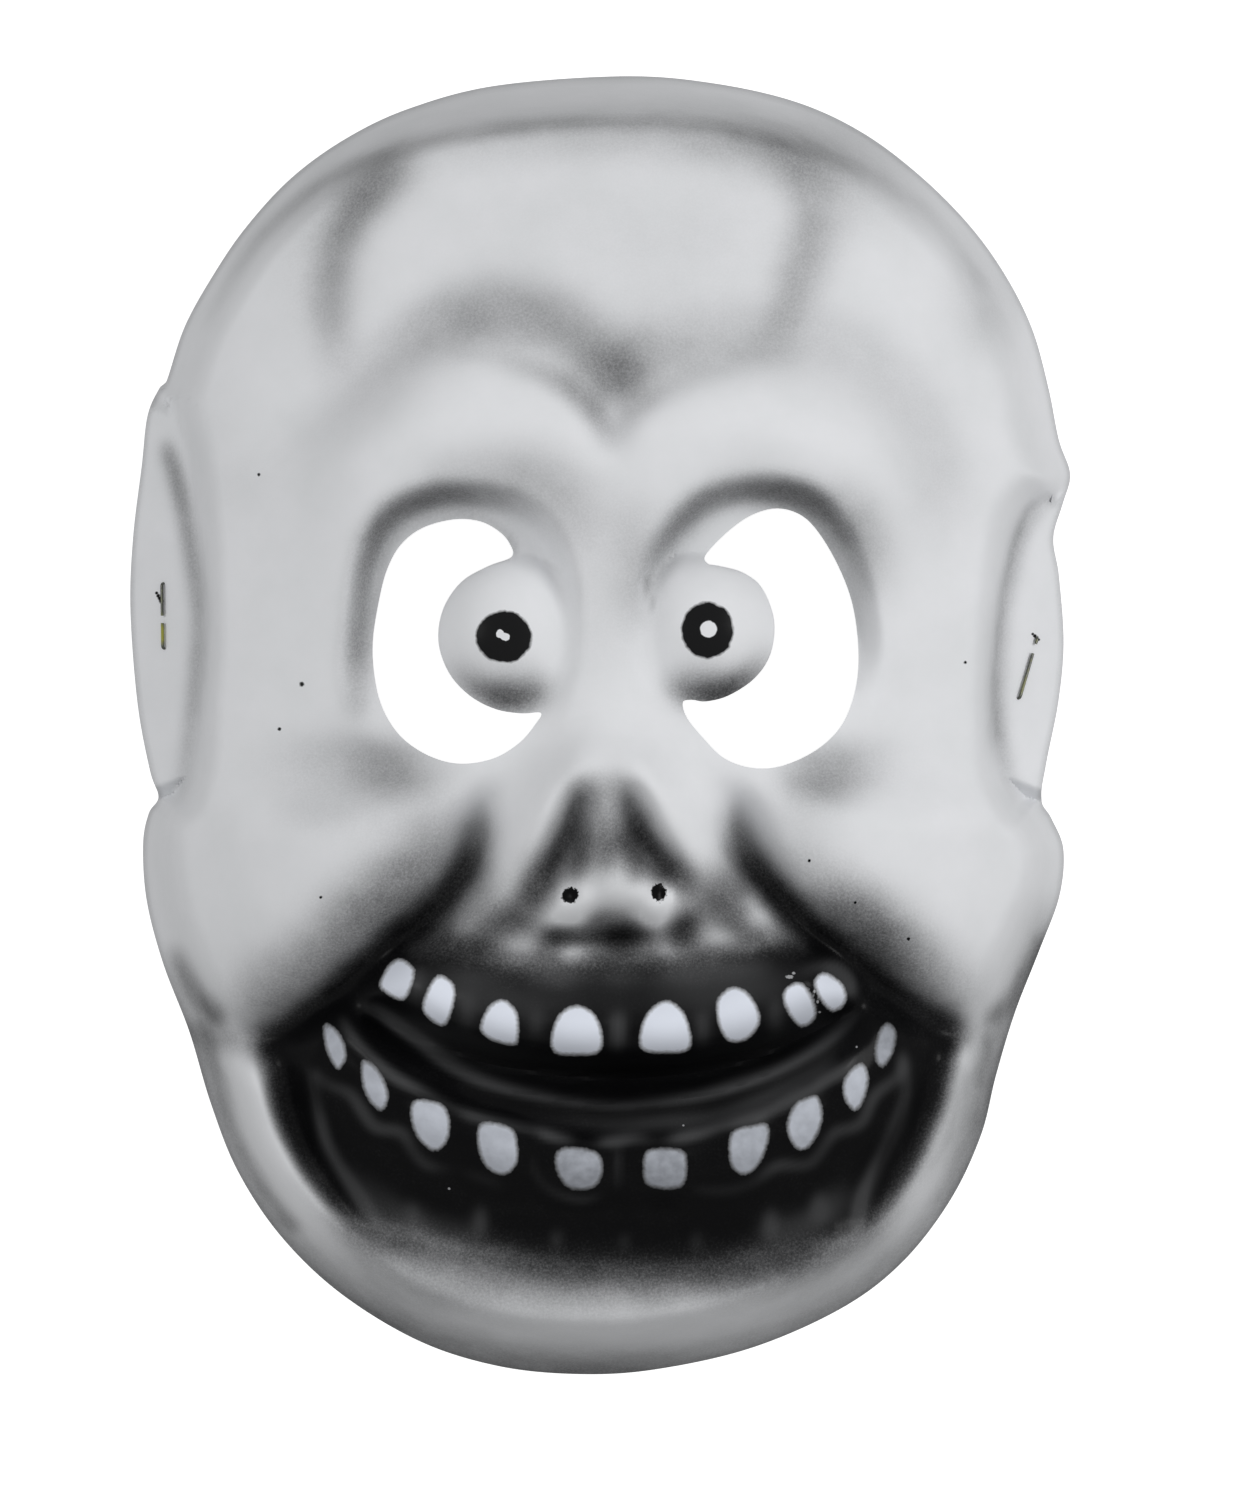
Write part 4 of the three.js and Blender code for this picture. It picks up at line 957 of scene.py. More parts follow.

# %% [markdown]
# The gums get the painted sheen too: round the lower teeth, along their outer edges and on the low bumps
# above the upper teeth. Short upright streaks of painted highlight stand between the teeth and over the
# roots.

# %% Painted sheen on the gums
GUM_SHEEN = {
    "left scallops": (1.5, [
        (-55.5, -66, 0.2), (-52, -69, 0.4), (-48, -70.6, 0.6), (-45.6, -74, 0.8), (-43, -77.2, 0.76),
        (-38, -78, 0.66), (-36, -81.5, 0.46), (-33, -84.5, 0.5), (-28, -85.2, 0.1), (-23.5, -86.6, 0.26),
        (-18.5, -88.6, 0.16)]),
    "middle scallops": (1.2, [
        (-13, -82.5, 0.16), (-12.4, -86, 0.26), (-9.4, -89.2, 0.3), (-4, -91, 0.44), (0.5, -90.2, 0.2)]),
    "between the teeth": (1.1, [(3.4, -81.5, 0.3), (3.4, -85, 0.34), (3.4, -89, 0.2)]),
    "right scallops": (1.5, [
        (17.5, -89, 0.2), (24, -89.2, 0.3), (29.5, -87.6, 0.3), (34, -84.4, 0.62), (40, -84.2, 0.46),
        (43.5, -80, 0.46), (45, -78, 0.56), (50, -76.4, 0.6), (52.6, -71, 0.66), (57.4, -67, 0.5),
        (57.8, -62.5, 0.4)]),
    "left gum edge": (1.5, [
        (-55, -66, 0.2), (-54.4, -72, 0.3), (-53.6, -76, 0.6), (-52.6, -80, 0.66), (-50.6, -84, 0.6),
        (-48, -88, 0.7), (-45, -92.5, 0.8), (-41.4, -97.6, 0.5)]),
    "right gum edge": (1.5, [
        (58.3, -64, 0.4), (58.5, -70, 0.36), (56.6, -75.5, 0.4), (54.2, -81, 0.3), (52, -86, 0.6),
        (50.2, -91, 1.0), (49.4, -96, 1.2), (49, -99.5, 0.6)]),
    "upper gum": (4.2, [
        (-38, -47.6, 0.2), (-32, -49.5, 0.4), (-24, -51.5, 0.56), (-14, -53, 0.5), (-4, -52.6, 0.34),
        (4, -52.6, 0.3), (13, -52, 0.4), (21, -51.5, 0.6), (32, -50, 0.5), (38, -48, 0.3)]),
    "left chin": (3.4, [
        (-49, -85, 0.1), (-44, -90, 0.36), (-38, -94.4, 0.5), (-30, -97, 0.4), (-23, -98.4, 0.5)]),
    "right chin": (3.4, [(30, -98, 0.4), (36, -97, 0.5), (43, -94, 0.56), (47.5, -89, 0.4)]),
    "corner tooth": (1.6, [
        (38.5, -47, 0.3), (42, -46.4, 0.5), (45, -46.8, 1.1), (47.5, -49.4, 1.2), (48.4, -52, 0.5)]),
    "bumps above the teeth": (2.4, [
        (-30, -47, 0.1), (-23, -48, 0.3), (-16, -47.6, 0.1), (-8, -48, 0.8), (-2, -48.4, 0.2), (4, -48, 0.5),
        (9, -48.4, 0.2), (15, -47.8, 0.66), (22, -47, 0.74), (28, -46.4, 0.5), (33, -45.6, 0.2)]),
    "roof of the mouth": (4.0, [
        (-38, -57, 0.3), (-20, -64, 0.3), (4, -67, 0.12), (28, -63, 0.2), (44, -55.4, 0.3)]),
}
UPPER_GAPS = [                  # x, top, bottom and strength of the painted sheen, between the upper teeth
    (-35.2, -47, -52, 0.5), (-25.4, -52, -57.5, 0.4), (-12.2, -55, -59.5, 0.4), (3.4, -55.5, -61.5, 0.8),
    (19.6, -55.5, -60.5, 0.6), (33.6, -53, -58, 0.5),
]
ROOT_STREAKS = [                # x, top, bottom and strength of the painted sheen
    (-36, -92, -97, 0.36), (-23, -92.5, -97.5, 0.56), (-8.4, -97, -100.5, 0.46), (4.6, -97.6, -101, 0.36),
    (18.4, -97.4, -101, 0.36), (32.6, -93, -98, 0.5), (42, -90, -95, 0.5),
]
STREAK_WIDTH = 1.8
print(len(GUM_SHEEN), "worn lines and", len(UPPER_GAPS) + len(ROOT_STREAKS), "streaks on the gums")

# %% [markdown]
# The last passes are the quietest ones, and most of them are painted shade: in the creases at the feet of
# the tabs and at the corners of the cheeks, in a small dent above the right tab, on the jaw's side walls
# and all along the chin wall, and as a painted shadow along the outer edges of the eye holes. The cut edge
# of the rim gets a thin line of painted shade all round. One wide faint pass darkens the left temple.

# %% Painted shade on the side walls, in the creases and at the cut edges
SIDE_PASSES = {
    # painted shade in the creases at the tabs' feet
    "painted shade at the left tab foot": (1.8, [
        (-83.7, 54, 0.5), (-81.4, 47, 0.8), (-79.5, 38, 0.66), (-78, 28, 0.6), (-77.2, 20, 0.44),
        (-77.8, 10, 0.5), (-78.8, 0, 0.4), (-79.8, -8, 0.28), (-81, -15, 0.1)]),
    "painted shade at the right tab foot": (1.9, [
        (87, 44, 0.0), (83.3, 41, 0.34), (81, 37, 0.42), (79.2, 30, 0.36), (77.6, 22, 0.34), (76.6, 12, 0.36),
        (76.2, 4, 0.44), (76.7, -3, 0.48), (78, -8, 0.26), (80.4, -16, 0.04)]),
    "painted shade in the right tab crease": (0.8, [
        (84.2, 42.8, 0.1), (82.2, 41.5, 0.2), (80.1, 36.2, 0.34), (78.5, 30.6, 0.28), (77.5, 26.2, 0.26),
        (77, 21.2, 0.26), (76.4, 16.2, 0.24), (76, 10, 0.24), (75.9, 3, 0.2), (76.4, -3, 0.1)]),
    # painted shade in the creases at the corners of the cheeks
    "painted shade in the left cheek corner": (2.0, [(-82, -43, 0.4), (-80, -47.5, 0.7), (-77, -52.5, 0.94), (-73, -57, 1.4)]),
    "painted shade in the right cheek corner": (2.0, [(86, -41, 1.1), (82.8, -47, 0.95), (79.2, -53, 0.75), (74.5, -57, 0.8)]),
    # painted shade on the chin wall, which turns away from the light
    "painted shade on the chin wall": (4.2, [
        (-84, -48, 0.3), (-78, -63, 0.6), (-74, -78, 0.66), (-69.5, -88, 0.66), (-59, -102, 0.86),
        (-44, -114, 1.2), (-22, -122.5, 1.16), (0, -124.8, 1.3), (24, -121.8, 0.76), (46, -112.5, 0.88),
        (60.5, -101, 0.8), (70, -87, 0.88), (76, -68, 1.3), (82, -52, 0.64), (87.5, -36, 0.44)]),
    # painted shade on the jaw's side walls
    "painted shade on the left jaw wall": (1.6, [
        (-76.6, -57, 0.3), (-74.8, -64, 0.5), (-72.9, -70, 0.42), (-70.8, -78, 0.34), (-66.8, -86, 0.4),
        (-62.8, -92, 0.38), (-58.6, -97, 0.6)]),
    "painted shade on the right jaw wall": (1.4, [(74.6, -59, 0.45), (73.6, -64, 0.34), (72.4, -69, 0.22)]),
    "left temple": (6.0, [(-71, 45, 0.16), (-66, 48, 0.02), (-60, 51, 0.0)]),
    # painted shade in a small dent above the right tab
    "painted shade in the dent above the right tab": (1.0, [(86, 43.9, 0.0), (86.9, 43.2, 0.4), (87.6, 42.6, 0.4)]),
    # painted shadow of the cut edge along the outer sides of the eye holes
    "painted shadow at the left hole edge": (0.9, [
        (-38.5, 34.9, 0.05), (-34.1, 38.2, 0.14), (-28, 39.8, 0.2), (-22.8, 39.4, 0.2), (-18.9, 37.3, 0.2),
        (-16.8, 34.6, 0.34), (-16.6, 32.4, 0.26)]),
    "painted shadow at the right hole edge": (0.9, [
        (39.1, 40.3, 0.05), (43, 36, 0.16), (46.7, 29.2, 0.12), (49, 22.1, 0.08), (49.9, 13.4, 0.08),
        (49.2, 6.4, 0.1)]),
}
RIM_SHADE = 0.3                 # painted shade along the rim's cut edge, which turns down and away
RIM_SHADE_WIDTH = 0.7
print(len(SIDE_PASSES), "passes on the side walls")

# %% [markdown]
# Two functions add everything up: one the amount of black at a place, the other how strong the painted
# sheen on the black is there. Both lay the same kind of pass, whose third number at each stop is blended
# along the curve with its place.

# %% Adding up the paint and the painted sheen
def sprayed_pass(x, y, width, stops):
    line = curve_through(stops)
    return blurred_line(x, y, line[:, :2], np.clip(line[:, 2], 0, None), width)


def airbrushed(x, y):
    """Amount of black at each place: airbrushed paint, and painted shade on walls, creases and edges."""
    edge = inside_distance(x, y, curve_through(MOUTH_SHAPE, closed=True, steps=5))
    amount = MOUTH_AMOUNT * ease((edge - MOUTH_EDGE[0]) / (MOUTH_EDGE[1] - MOUTH_EDGE[0]))
    for passes in (BROW_PASSES, EYE_PASSES, NOSE_PASSES, FOLD_PASSES, GUM_PASSES, SIDE_PASSES):
        for width, stops in passes.values():
            amount += sprayed_pass(x, y, width, stops)
    # thin paint and painted highlight on the bumps of the gum and beside the nose tip
    for lit_thin_spot in LIT_THIN_SPOTS:
        amount += swelling(x, y, *lit_thin_spot)
    # painted shade in a thin line along the rim's cut edge
    amount += RIM_SHADE * np.exp(-(inside_distance(x, y, rim_ring) / RIM_SHADE_WIDTH) ** 2)
    return np.clip(amount, 0, None)


def painted_ridge_sheen(x, y):
    """Painted sheen on the black ridges, from nought to one, with a firm edge to each line."""
    ridge_sheen = np.zeros(x.shape)
    streaks = [(STREAK_WIDTH, [(at, top, most), (at, bottom, most)])
               for at, top, bottom, most in UPPER_GAPS + ROOT_STREAKS]
    for width, stops in [*LIP_SHEEN.values(), *GUM_SHEEN.values(), *streaks]:
        ridge_sheen += sprayed_pass(x, y, width, stops)
    return ease(ridge_sheen)


print("the spray's mouth shape has", len(MOUTH_SHAPE), "points")

# %% [markdown]
# The white of the teeth was kept clear of the spray with a stencil, so its edge is crisp. Each patch is a
# small outline. The mesh is too coarse to hold a crisp edge as a colour, but it can hold the distance to
# the edge, and the material can cut the colour off exactly where that distance passes nought.

# %% Outlines of the tooth patches
UPPER_PATCHES = [
    [(-38, -44.8), (-35.5, -47.1), (-36.9, -51.8), (-38.5, -52.6), (-42.1, -50.4), (-41.7, -48),
     (-40.1, -45.6)],
    [(-30.6, -47.8), (-27.9, -50), (-28.2, -54), (-30, -57.7), (-33.4, -55.6), (-34, -53.4), (-32.5, -49.6)],
    [(-18.6, -52.5), (-15.9, -55.1), (-15.7, -60), (-16.6, -61.3), (-21, -60.2), (-23, -58), (-21.4, -54)],
    [(-4.5, -53.6), (-0.9, -55.6), (0.5, -60.3), (-0.6, -62.9), (-4.4, -63.2), (-8.4, -62.9), (-9.5, -60.4),
     (-8, -55.6)],
    [(12.4, -52.7), (15.9, -54.9), (17.5, -60.2), (16.4, -62.5), (12.4, -62.8), (8.5, -62.4), (7.4, -60.2),
     (8.8, -55.4)],
    [(25.3, -50.1), (28.7, -51.8), (30.6, -56.4), (28.2, -60.1), (24.6, -60.5), (22.6, -57.2), (22.4, -52.6)],
    [(37.2, -49.3), (39.6, -50.4), (41.4, -55), (40, -57.4), (38, -57.6), (35.8, -54.8), (34.9, -51.4)],
    [(42.8, -47.4), (46.2, -49.4), (47.2, -52.4), (46, -54.4), (44, -54.7), (41.8, -52), (40.9, -49)],
]
LOWER_PATCHES = [
    [(-53, -57.4), (-51, -58), (-49.2, -60.6), (-48.7, -63.6), (-50, -66), (-51.6, -64.4), (-52.9, -60.6)],
    [(-45.7, -64.5), (-43.6, -65), (-41.6, -67.6), (-40.6, -71), (-41.6, -73.8), (-43.4, -73),
     (-45.4, -69.6)],
    [(-35.5, -71.8), (-30.4, -72.6), (-28.8, -76), (-29.5, -80), (-32, -81.6), (-35, -79), (-36.3, -75)],
    [(-22.7, -76.1), (-17.2, -77.1), (-15.9, -80), (-16, -84), (-18.5, -86.2), (-22, -84.5), (-23.5, -80)],
    [(-8, -81.3), (-4, -80.9), (-0.2, -82.2), (0.4, -86), (-1.5, -88.7), (-6, -88.7), (-8.5, -85)],
    [(8.8, -81.6), (12.4, -81), (16, -81.7), (16.6, -85), (15.8, -88.3), (12.4, -88.9), (8.9, -88),
     (8.2, -85)],
    [(25.2, -77.9), (28.6, -76.8), (32, -76.5), (32.1, -80), (30.4, -84.2), (27.8, -86.2), (25.4, -85),
     (24.6, -81.6)],
    [(37, -73), (39.4, -71.4), (41.7, -71.2), (42.6, -74.6), (41.8, -78), (39.6, -81.2), (37.2, -80.8),
     (35.7, -77)],
    [(47.6, -66.5), (50.2, -64.8), (51.4, -67.6), (50.6, -71.6), (48.9, -74), (47, -72), (46.4, -69)],
    [(53.3, -59), (55, -57.1), (56.7, -58.8), (56.2, -62.6), (54.2, -65.6), (52.6, -63.6)],
]
FAR_OUTSIDE = -99.0
UPPER_VEIL = 0.03               # thin overspray on the white of the teeth
LOWER_VEILS = (0.38, 0.36, 0.3, 0.37, 0.56, 0.56, 0.47, 0.4, 0.34, 0.58)


def tooth_patches(x, y):
    """Distance inside the nearest tooth patch, and the thin overspray on it."""
    distance = np.full(x.shape, FAR_OUTSIDE)
    veil = np.zeros(x.shape)
    veils = [UPPER_VEIL] * len(UPPER_PATCHES) + [*LOWER_VEILS]
    for points, own_veil in zip(UPPER_PATCHES + LOWER_PATCHES, veils):
        inside = inside_distance(x, y, curve_through(points, closed=True, steps=4))
        veil = np.where(inside > distance, own_veil, veil)
        distance = np.maximum(distance, inside)
    return distance, veil


print(len(UPPER_PATCHES), "upper patches and", len(LOWER_PATCHES), "lower ones")

# %% [markdown]
# Every point of the mesh now gets four numbers: the amount of spray, the painted sheen, the distance
# inside a tooth patch and the veil on it. They are stored as attributes, so the paint stays with the foam
# in every view.

# %% Writing the paint onto the mesh
def write_attribute(mesh, name, values):
    made = mesh.attributes.new(name, "FLOAT", "POINT")
    made.data.foreach_set("value", values.astype(np.float32))


points = np.empty(3 * len(mask.data.vertices), np.float32)
mask.data.vertices.foreach_get("co", points)
mask_x, mask_y = (points.reshape(-1, 3)[:, :2] / MM).T.astype(float)
tooth_inside, tooth_veil = tooth_patches(mask_x, mask_y)
# The ridge sheen is a painted highlight on the black, together with the thinner spray on the ridges.
painted = {
    "spray": airbrushed(mask_x, mask_y), "ridge_sheen": painted_ridge_sheen(mask_x, mask_y),
    "tooth_inside": tooth_inside, "tooth_veil": tooth_veil,
}
for name, values in painted.items():
    write_attribute(mask.data, name, values)
    print(name, "runs from", round(float(values.min()), 2), "to", round(float(values.max()), 2))

# %% [markdown]
# Materials are built from nodes. A few small helpers keep that readable: one adds a node and connects its
# inputs, and the others do a sum or stretch a range of values. An input may be a plain number or the output
# of another node.

# %% Nodes and sums
def connect(tree, value, socket):
    if isinstance(value, bpy.types.NodeSocket):
        tree.links.new(value, socket)
    else:
        socket.default_value = value


def add_node(tree, kind, inputs=None, **settings):
    made = tree.nodes.new(kind)
    for name, value in settings.items():
        setattr(made, name, value)
    for socket, value in (inputs or {}).items():
        connect(tree, value, made.inputs[socket])
    return made


def calculate(tree, operation, first, second=0.0):
    return add_node(tree, "ShaderNodeMath", {0: first, 1: second}, operation=operation).outputs[0]


def product(tree, first, second):
    return calculate(tree, "MULTIPLY", first, second)


def left_over(tree, share):
    """One less the share."""
    return calculate(tree, "SUBTRACT", 1.0, share)


def most_of(tree, shares):
    total = shares[0]
    for share in shares[1:]:
        total = calculate(tree, "MAXIMUM", total, share)
    return total


def rescale(tree, value, from_range, to_range=(0.0, 1.0)):
    inputs = {"Value": value, "From Min": from_range[0], "From Max": from_range[1]}
    inputs |= {"To Min": to_range[0], "To Max": to_range[1]}
    return add_node(tree, "ShaderNodeMapRange", inputs, clamp=True).outputs["Result"]


print("materials to make:", ", ".join(material.name for material in foam_slots))

# %% [markdown]
# Patterns come from noise. Each one is fed by the Object output, the place on the piece itself, so it has
# its real size and stays put when the mask moves. The paint comes from the attributes written above. Bump
# is kept for grain that is far too fine for the mesh.

# %% Patterns and shaders
def noise(tree, place, length, detail=2.0, roughness=0.5):
    """Noise whose features are about the given length in millimetres."""
    inputs = {"Vector": place, "Scale": 1 / (length * MM), "Detail": detail, "Roughness": roughness}
    return add_node(tree, "ShaderNodeTexNoise", inputs).outputs["Fac"]


def patchy(tree, place, size, detail, roughness, ends, results=(0.0, 1.0)):
    """Noise whose usual low and high ends come out as the two results."""
    return rescale(tree, noise(tree, place, size, detail, roughness), ends, results)


def mix_colours(tree, share, first, second):
    made = add_node(tree, "ShaderNodeMix", {0: share, 6: first, 7: second}, data_type="RGBA")
    return made.outputs[2]


def start_material(material):
    material.use_nodes = True
    tree = material.node_tree
    place = add_node(tree, "ShaderNodeTexCoord").outputs["Object"]
    return tree, tree.nodes["Principled BSDF"], place


def attribute(tree, name):
    return add_node(tree, "ShaderNodeAttribute", attribute_name=name).outputs["Fac"]


def add_bump(tree, shader, height, strength, depth):
    inputs = {"Strength": strength, "Distance": depth * MM, "Height": height}
    bump = add_node(tree, "ShaderNodeBump", inputs)
    tree.links.new(bump.outputs["Normal"], shader.inputs["Normal"])


print("attributes to read:", ", ".join(painted))

# %% [markdown]
# A round spot is needed for the pupils, their glints and stray flecks of paint. It is the distance from
# the spot's middle, measured in its own radii, so it is one at the spot's edge. Noise added to that distance
# gives the edge the ragged look of paint that crept under a stencil.

# %% Spots
NOISE_MIDDLE = 0.5              # noise is about a half on average
SPOT_EDGES = {                  # raggedness, softness and the length of the ragged edge's waves
    "pupil": (0.16, 0.05, 1.6), "nostril": (0.9, 0.08, 0.8), "fleck": (0.8, 0.3, 0.4),
    "chip": (0.8, 0.2, 0.4), "stain": (0.6, 0.35, 0.7), "left glint": (0.9, 0.06, 0.9),
    "right glint": (0.2, 0.06, 0.9),
}


def spot(tree, place, middle, radii, edge):
    """Share of cover: 1 inside an ellipse in plan, nought outside it."""
    ragged, soft, wave = SPOT_EDGES[edge]
    middle = (middle[0] * MM, middle[1] * MM, 0)
    stretch = (1 / (radii[0] * MM), 1 / (radii[1] * MM), 0)
    out = place
    for operation, vector in (("SUBTRACT", middle), ("MULTIPLY", stretch)):
        out = add_node(tree, "ShaderNodeVectorMath", {0: out, 1: vector}, operation=operation).outputs[0]
    out = add_node(tree, "ShaderNodeVectorMath", {0: out}, operation="LENGTH").outputs["Value"]
    wander = calculate(tree, "SUBTRACT", noise(tree, place, wave), NOISE_MIDDLE)
    out = calculate(tree, "ADD", out, product(tree, wander, ragged))
    return rescale(tree, out, (1 + soft, 1 - soft))


print(len(SPOT_EDGES), "kinds of edge")

# %% [markdown]
# These are the spots of the outside. The pupils are black discs with a white glint, brushed on by hand, so
# their edges wander. The black dabs in the two nostril pits are painted shade, the dark inside of a
# breathing hole. Flecks are stray drops of paint. The marks by the staples are small dark flecks in the
# foam beside their wire, and chips are where the black has come off a gum.

# %% Places of the spots
PUPILS = [((-18.45, 16.8), (5.35, 4.95)), ((20.5, 18.1), (5.0, 5.4))]    # middle, then radii
PUPIL_COVER = 0.99              # share of the foam that the pupil's black hides
GLINTS = [
    ((-19.2, 17.5), (0.85, 0.75), "left glint"), ((-18.2, 16.9), (0.85, 0.8), "left glint"),
    ((20.7, 18.3), (1.6, 1.6), "right glint")]
# painted shade: black dabs in the nostril pits, for the dark inside a breathing hole
NOSTRIL_SHADE = [((-5.8, -32.5), (1.65, 1.5)), ((11.2, -32.0), (1.45, 1.75))]
FLECKS = [                      # middle and radius
    ((-57.2, 7.8), 0.45), ((-61.5, -0.8), 0.35), ((-53.5, -33), 0.3), ((40, -26), 0.35),
    ((48.8, -34), 0.35), ((59, -41), 0.4), ((-65.5, 48), 0.3), ((70, 12), 0.3)]
# small dark marks in the foam beside the staples' wire
STAPLE_MARKS = [
    ((-85.4, 25.4), 0.3), ((-85.1, 24.9), 0.36), ((-84.8, 24.4), 0.42), ((-84.5, 23.9), 0.46),
    ((83.2, 17.5), 0.26), ((83.6, 17.15), 0.34), ((84, 16.8), 0.34), ((84.4, 16.45), 0.26)]
CHIPS = [
    ((36.2, -48.2), (0.7, 0.35)), ((37, -47.5), (0.3, 0.25)), ((41, -51), (0.2, 0.3)),
    ((41.6, -53), (0.25, 0.3)), ((42, -55), (0.25, 0.2)), ((-29, -88.9), (0.25, 0.22)),
    ((49.1, -61.7), (0.2, 0.2)), ((15.9, -76.7), (0.2, 0.2))]
CHIP_COVER = 0.6                # share of the paint left on a chip
print(len(FLECKS), "flecks,", len(STAPLE_MARKS), "nicks and", len(CHIPS), "chips")

# %% [markdown]
# The outside is white foam with black paint over it. The amount of paint becomes a share of cover by an
# exponential, as with thin coats over white. A fine noise on the amount gives the grain of the spray, most
# of all in the mid greys, and a wider one makes it blotchy. Where the black has its painted sheen, a little
# of the foam's white shows through as a painted highlight. On the tooth patches the cover gives way to the
# thin veil of overspray.

# %% Share of cover
SPRAY_GRAIN = (0.45, 3.0, 0.7, (0.25, 0.75), (0.68, 1.32))   # size, detail, roughness, ends, results
SPRAY_BLOTCH = (7, 2.0, 0.5, (0.3, 0.7), (0.88, 1.12))
VEIL_MOTTLE = (2.2, 2.0, 0.5, (0.3, 0.7), (0.88, 1.12))
SHEEN_SHARE = 0.062              # of the foam's white that shows as painted sheen where it is strongest
TOOTH_EDGE = (-0.26, 0.7)       # distance inside its outline at which a tooth patch starts and is solid
TOOTH_WAVE = (0.8, 0.5)         # length and height of the waves of that edge


def paint_cover(tree, place):
    """Share of the surface that black paint covers, and where the tooth patches are."""
    mottled = product(tree, patchy(tree, place, *SPRAY_GRAIN), patchy(tree, place, *SPRAY_BLOTCH))
    amount = product(tree, attribute(tree, "spray"), mottled)
    bare = calculate(tree, "EXPONENT", product(tree, amount, -1.0))
    # the painted sheen lets a little of the foam's white show through the black
    sheened = product(tree, attribute(tree, "ridge_sheen"), SHEEN_SHARE)
    cover = product(tree, left_over(tree, bare), left_over(tree, sheened))
    wander = calculate(tree, "SUBTRACT", noise(tree, place, TOOTH_WAVE[0]), NOISE_MIDDLE)
    inside = calculate(tree, "ADD", attribute(tree, "tooth_inside"), product(tree, wander, TOOTH_WAVE[1]))
    tooth = rescale(tree, inside, TOOTH_EDGE)
    veil = product(tree, attribute(tree, "tooth_veil"), patchy(tree, place, *VEIL_MOTTLE))
    change = product(tree, calculate(tree, "SUBTRACT", veil, cover), tooth)
    return calculate(tree, "ADD", cover, change), tooth


print("worn black lets", SHEEN_SHARE, "of the foam through")

# %% [markdown]
# Pupils, nostrils, flecks and nicks then add to that cover, and glints and chips take from it. The foam
# below is a cool white with faint clouds of grime, and whiter still on the teeth. Its skin has a slight
# shine. Where the paint is thick the surface is smoother, so the black gums shine more than the foam.

# %% The sprayed foam
FOAM_COLOUR = (0.826, 0.834, 0.857, 1)
FOAM_SHADE = (0.775, 0.788, 0.806, 1)
TOOTH_COLOUR = (0.80, 0.84, 0.93, 1)
PAINT_COLOUR = (0.003, 0.003, 0.0034, 1)
GRIME_CLOUDS = (16, 6.0, 0.6, (0.3, 0.7))
FOAM_ROUGHNESS, PAINT_ROUGHNESS = 0.56, 0.3
ROUGHNESS_COVER = (0.2, 0.95)   # the cover up to which the foam's holds, and from which the paint's does
FOAM_SPECULAR = 0.07
SKIN_GRAIN, SKIN_DIMPLES = (0.35, 3.0, 0.6), (2.4, 2.0)
SKIN_BUMP = (0.12, 0.1)         # strength and depth


def painted_spots(tree, place, cover):
    """The cover with the dark spots added and the light ones taken away."""
    pupils = most_of(tree, [spot(tree, place, *pupil, "pupil") for pupil in PUPILS])
    # the black in the nostril pits is painted shade
    nostril_shade = most_of(tree, [spot(tree, place, *nostril, "nostril") for nostril in NOSTRIL_SHADE])
    flecks = most_of(tree, [spot(tree, place, middle, (size, size), "fleck")
                            for middle, size in FLECKS + STAPLE_MARKS])
    glints = most_of(tree, [spot(tree, place, *glint) for glint in GLINTS])
    chips = most_of(tree, [spot(tree, place, *chip, "chip") for chip in CHIPS])
    dark = most_of(tree, [cover, product(tree, pupils, PUPIL_COVER), flecks, nostril_shade])
    light = most_of(tree, [glints, product(tree, chips, 1 - CHIP_COVER)])
    return product(tree, dark, left_over(tree, light))


def sprayed_foam(material):
    tree, shader, place = start_material(material)
    cover, tooth = paint_cover(tree, place)
    cover = painted_spots(tree, place, cover)
    foam = mix_colours(tree, patchy(tree, place, *GRIME_CLOUDS), FOAM_COLOUR, FOAM_SHADE)
    foam = mix_colours(tree, tooth, foam, TOOTH_COLOUR)
    tree.links.new(mix_colours(tree, cover, foam, PAINT_COLOUR), shader.inputs["Base Color"])
    rough = rescale(tree, cover, ROUGHNESS_COVER, (FOAM_ROUGHNESS, PAINT_ROUGHNESS))
    tree.links.new(rough, shader.inputs["Roughness"])
    shader.inputs["Specular IOR Level"].default_value = FOAM_SPECULAR
    skin = calculate(tree, "ADD", noise(tree, place, *SKIN_GRAIN), noise(tree, place, *SKIN_DIMPLES))
    add_bump(tree, shader, skin, *SKIN_BUMP)


sprayed_foam(foam_slots[OUTSIDE])
print("sprayed foam:", len(foam_slots[OUTSIDE].node_tree.nodes), "nodes")

# %% [markdown]
# Inside the mask, and at every cut edge, the foam is bare. Its surface is matt and shows small closed cells,
# which a cell texture gives at their real size of about half a millimetre.

# %% The bare foam
BARE_COLOUR = (0.79, 0.80, 0.81, 1)
CELL_COLOUR = (0.66, 0.67, 0.69, 1)
CELL_SIZE = 0.55
CELL_PIT = (0.35, 0.75)         # distances from a cell's middle at which its pit starts and is deepest
CELL_SHARE = 0.45               # of the cell colour in a pit
BARE_CLOUDS = (22, 3.0, 0.5, (0.35, 0.65), (0.0, 0.35))
BARE_ROUGHNESS = 0.82
CELL_BUMP = (0.35, 0.08)


def bare_foam(material):
    tree, shader, place = start_material(material)
    cells = add_node(tree, "ShaderNodeTexVoronoi", {"Vector": place, "Scale": 1 / (CELL_SIZE * MM)},
                     feature="SMOOTH_F1").outputs["Distance"]
    pits = rescale(tree, cells, CELL_PIT)
    share = most_of(tree, [product(tree, pits, CELL_SHARE), patchy(tree, place, *BARE_CLOUDS)])
    tree.links.new(mix_colours(tree, share, BARE_COLOUR, CELL_COLOUR), shader.inputs["Base Color"])
    shader.inputs["Roughness"].default_value = BARE_ROUGHNESS
    add_bump(tree, shader, left_over(tree, pits), *CELL_BUMP)


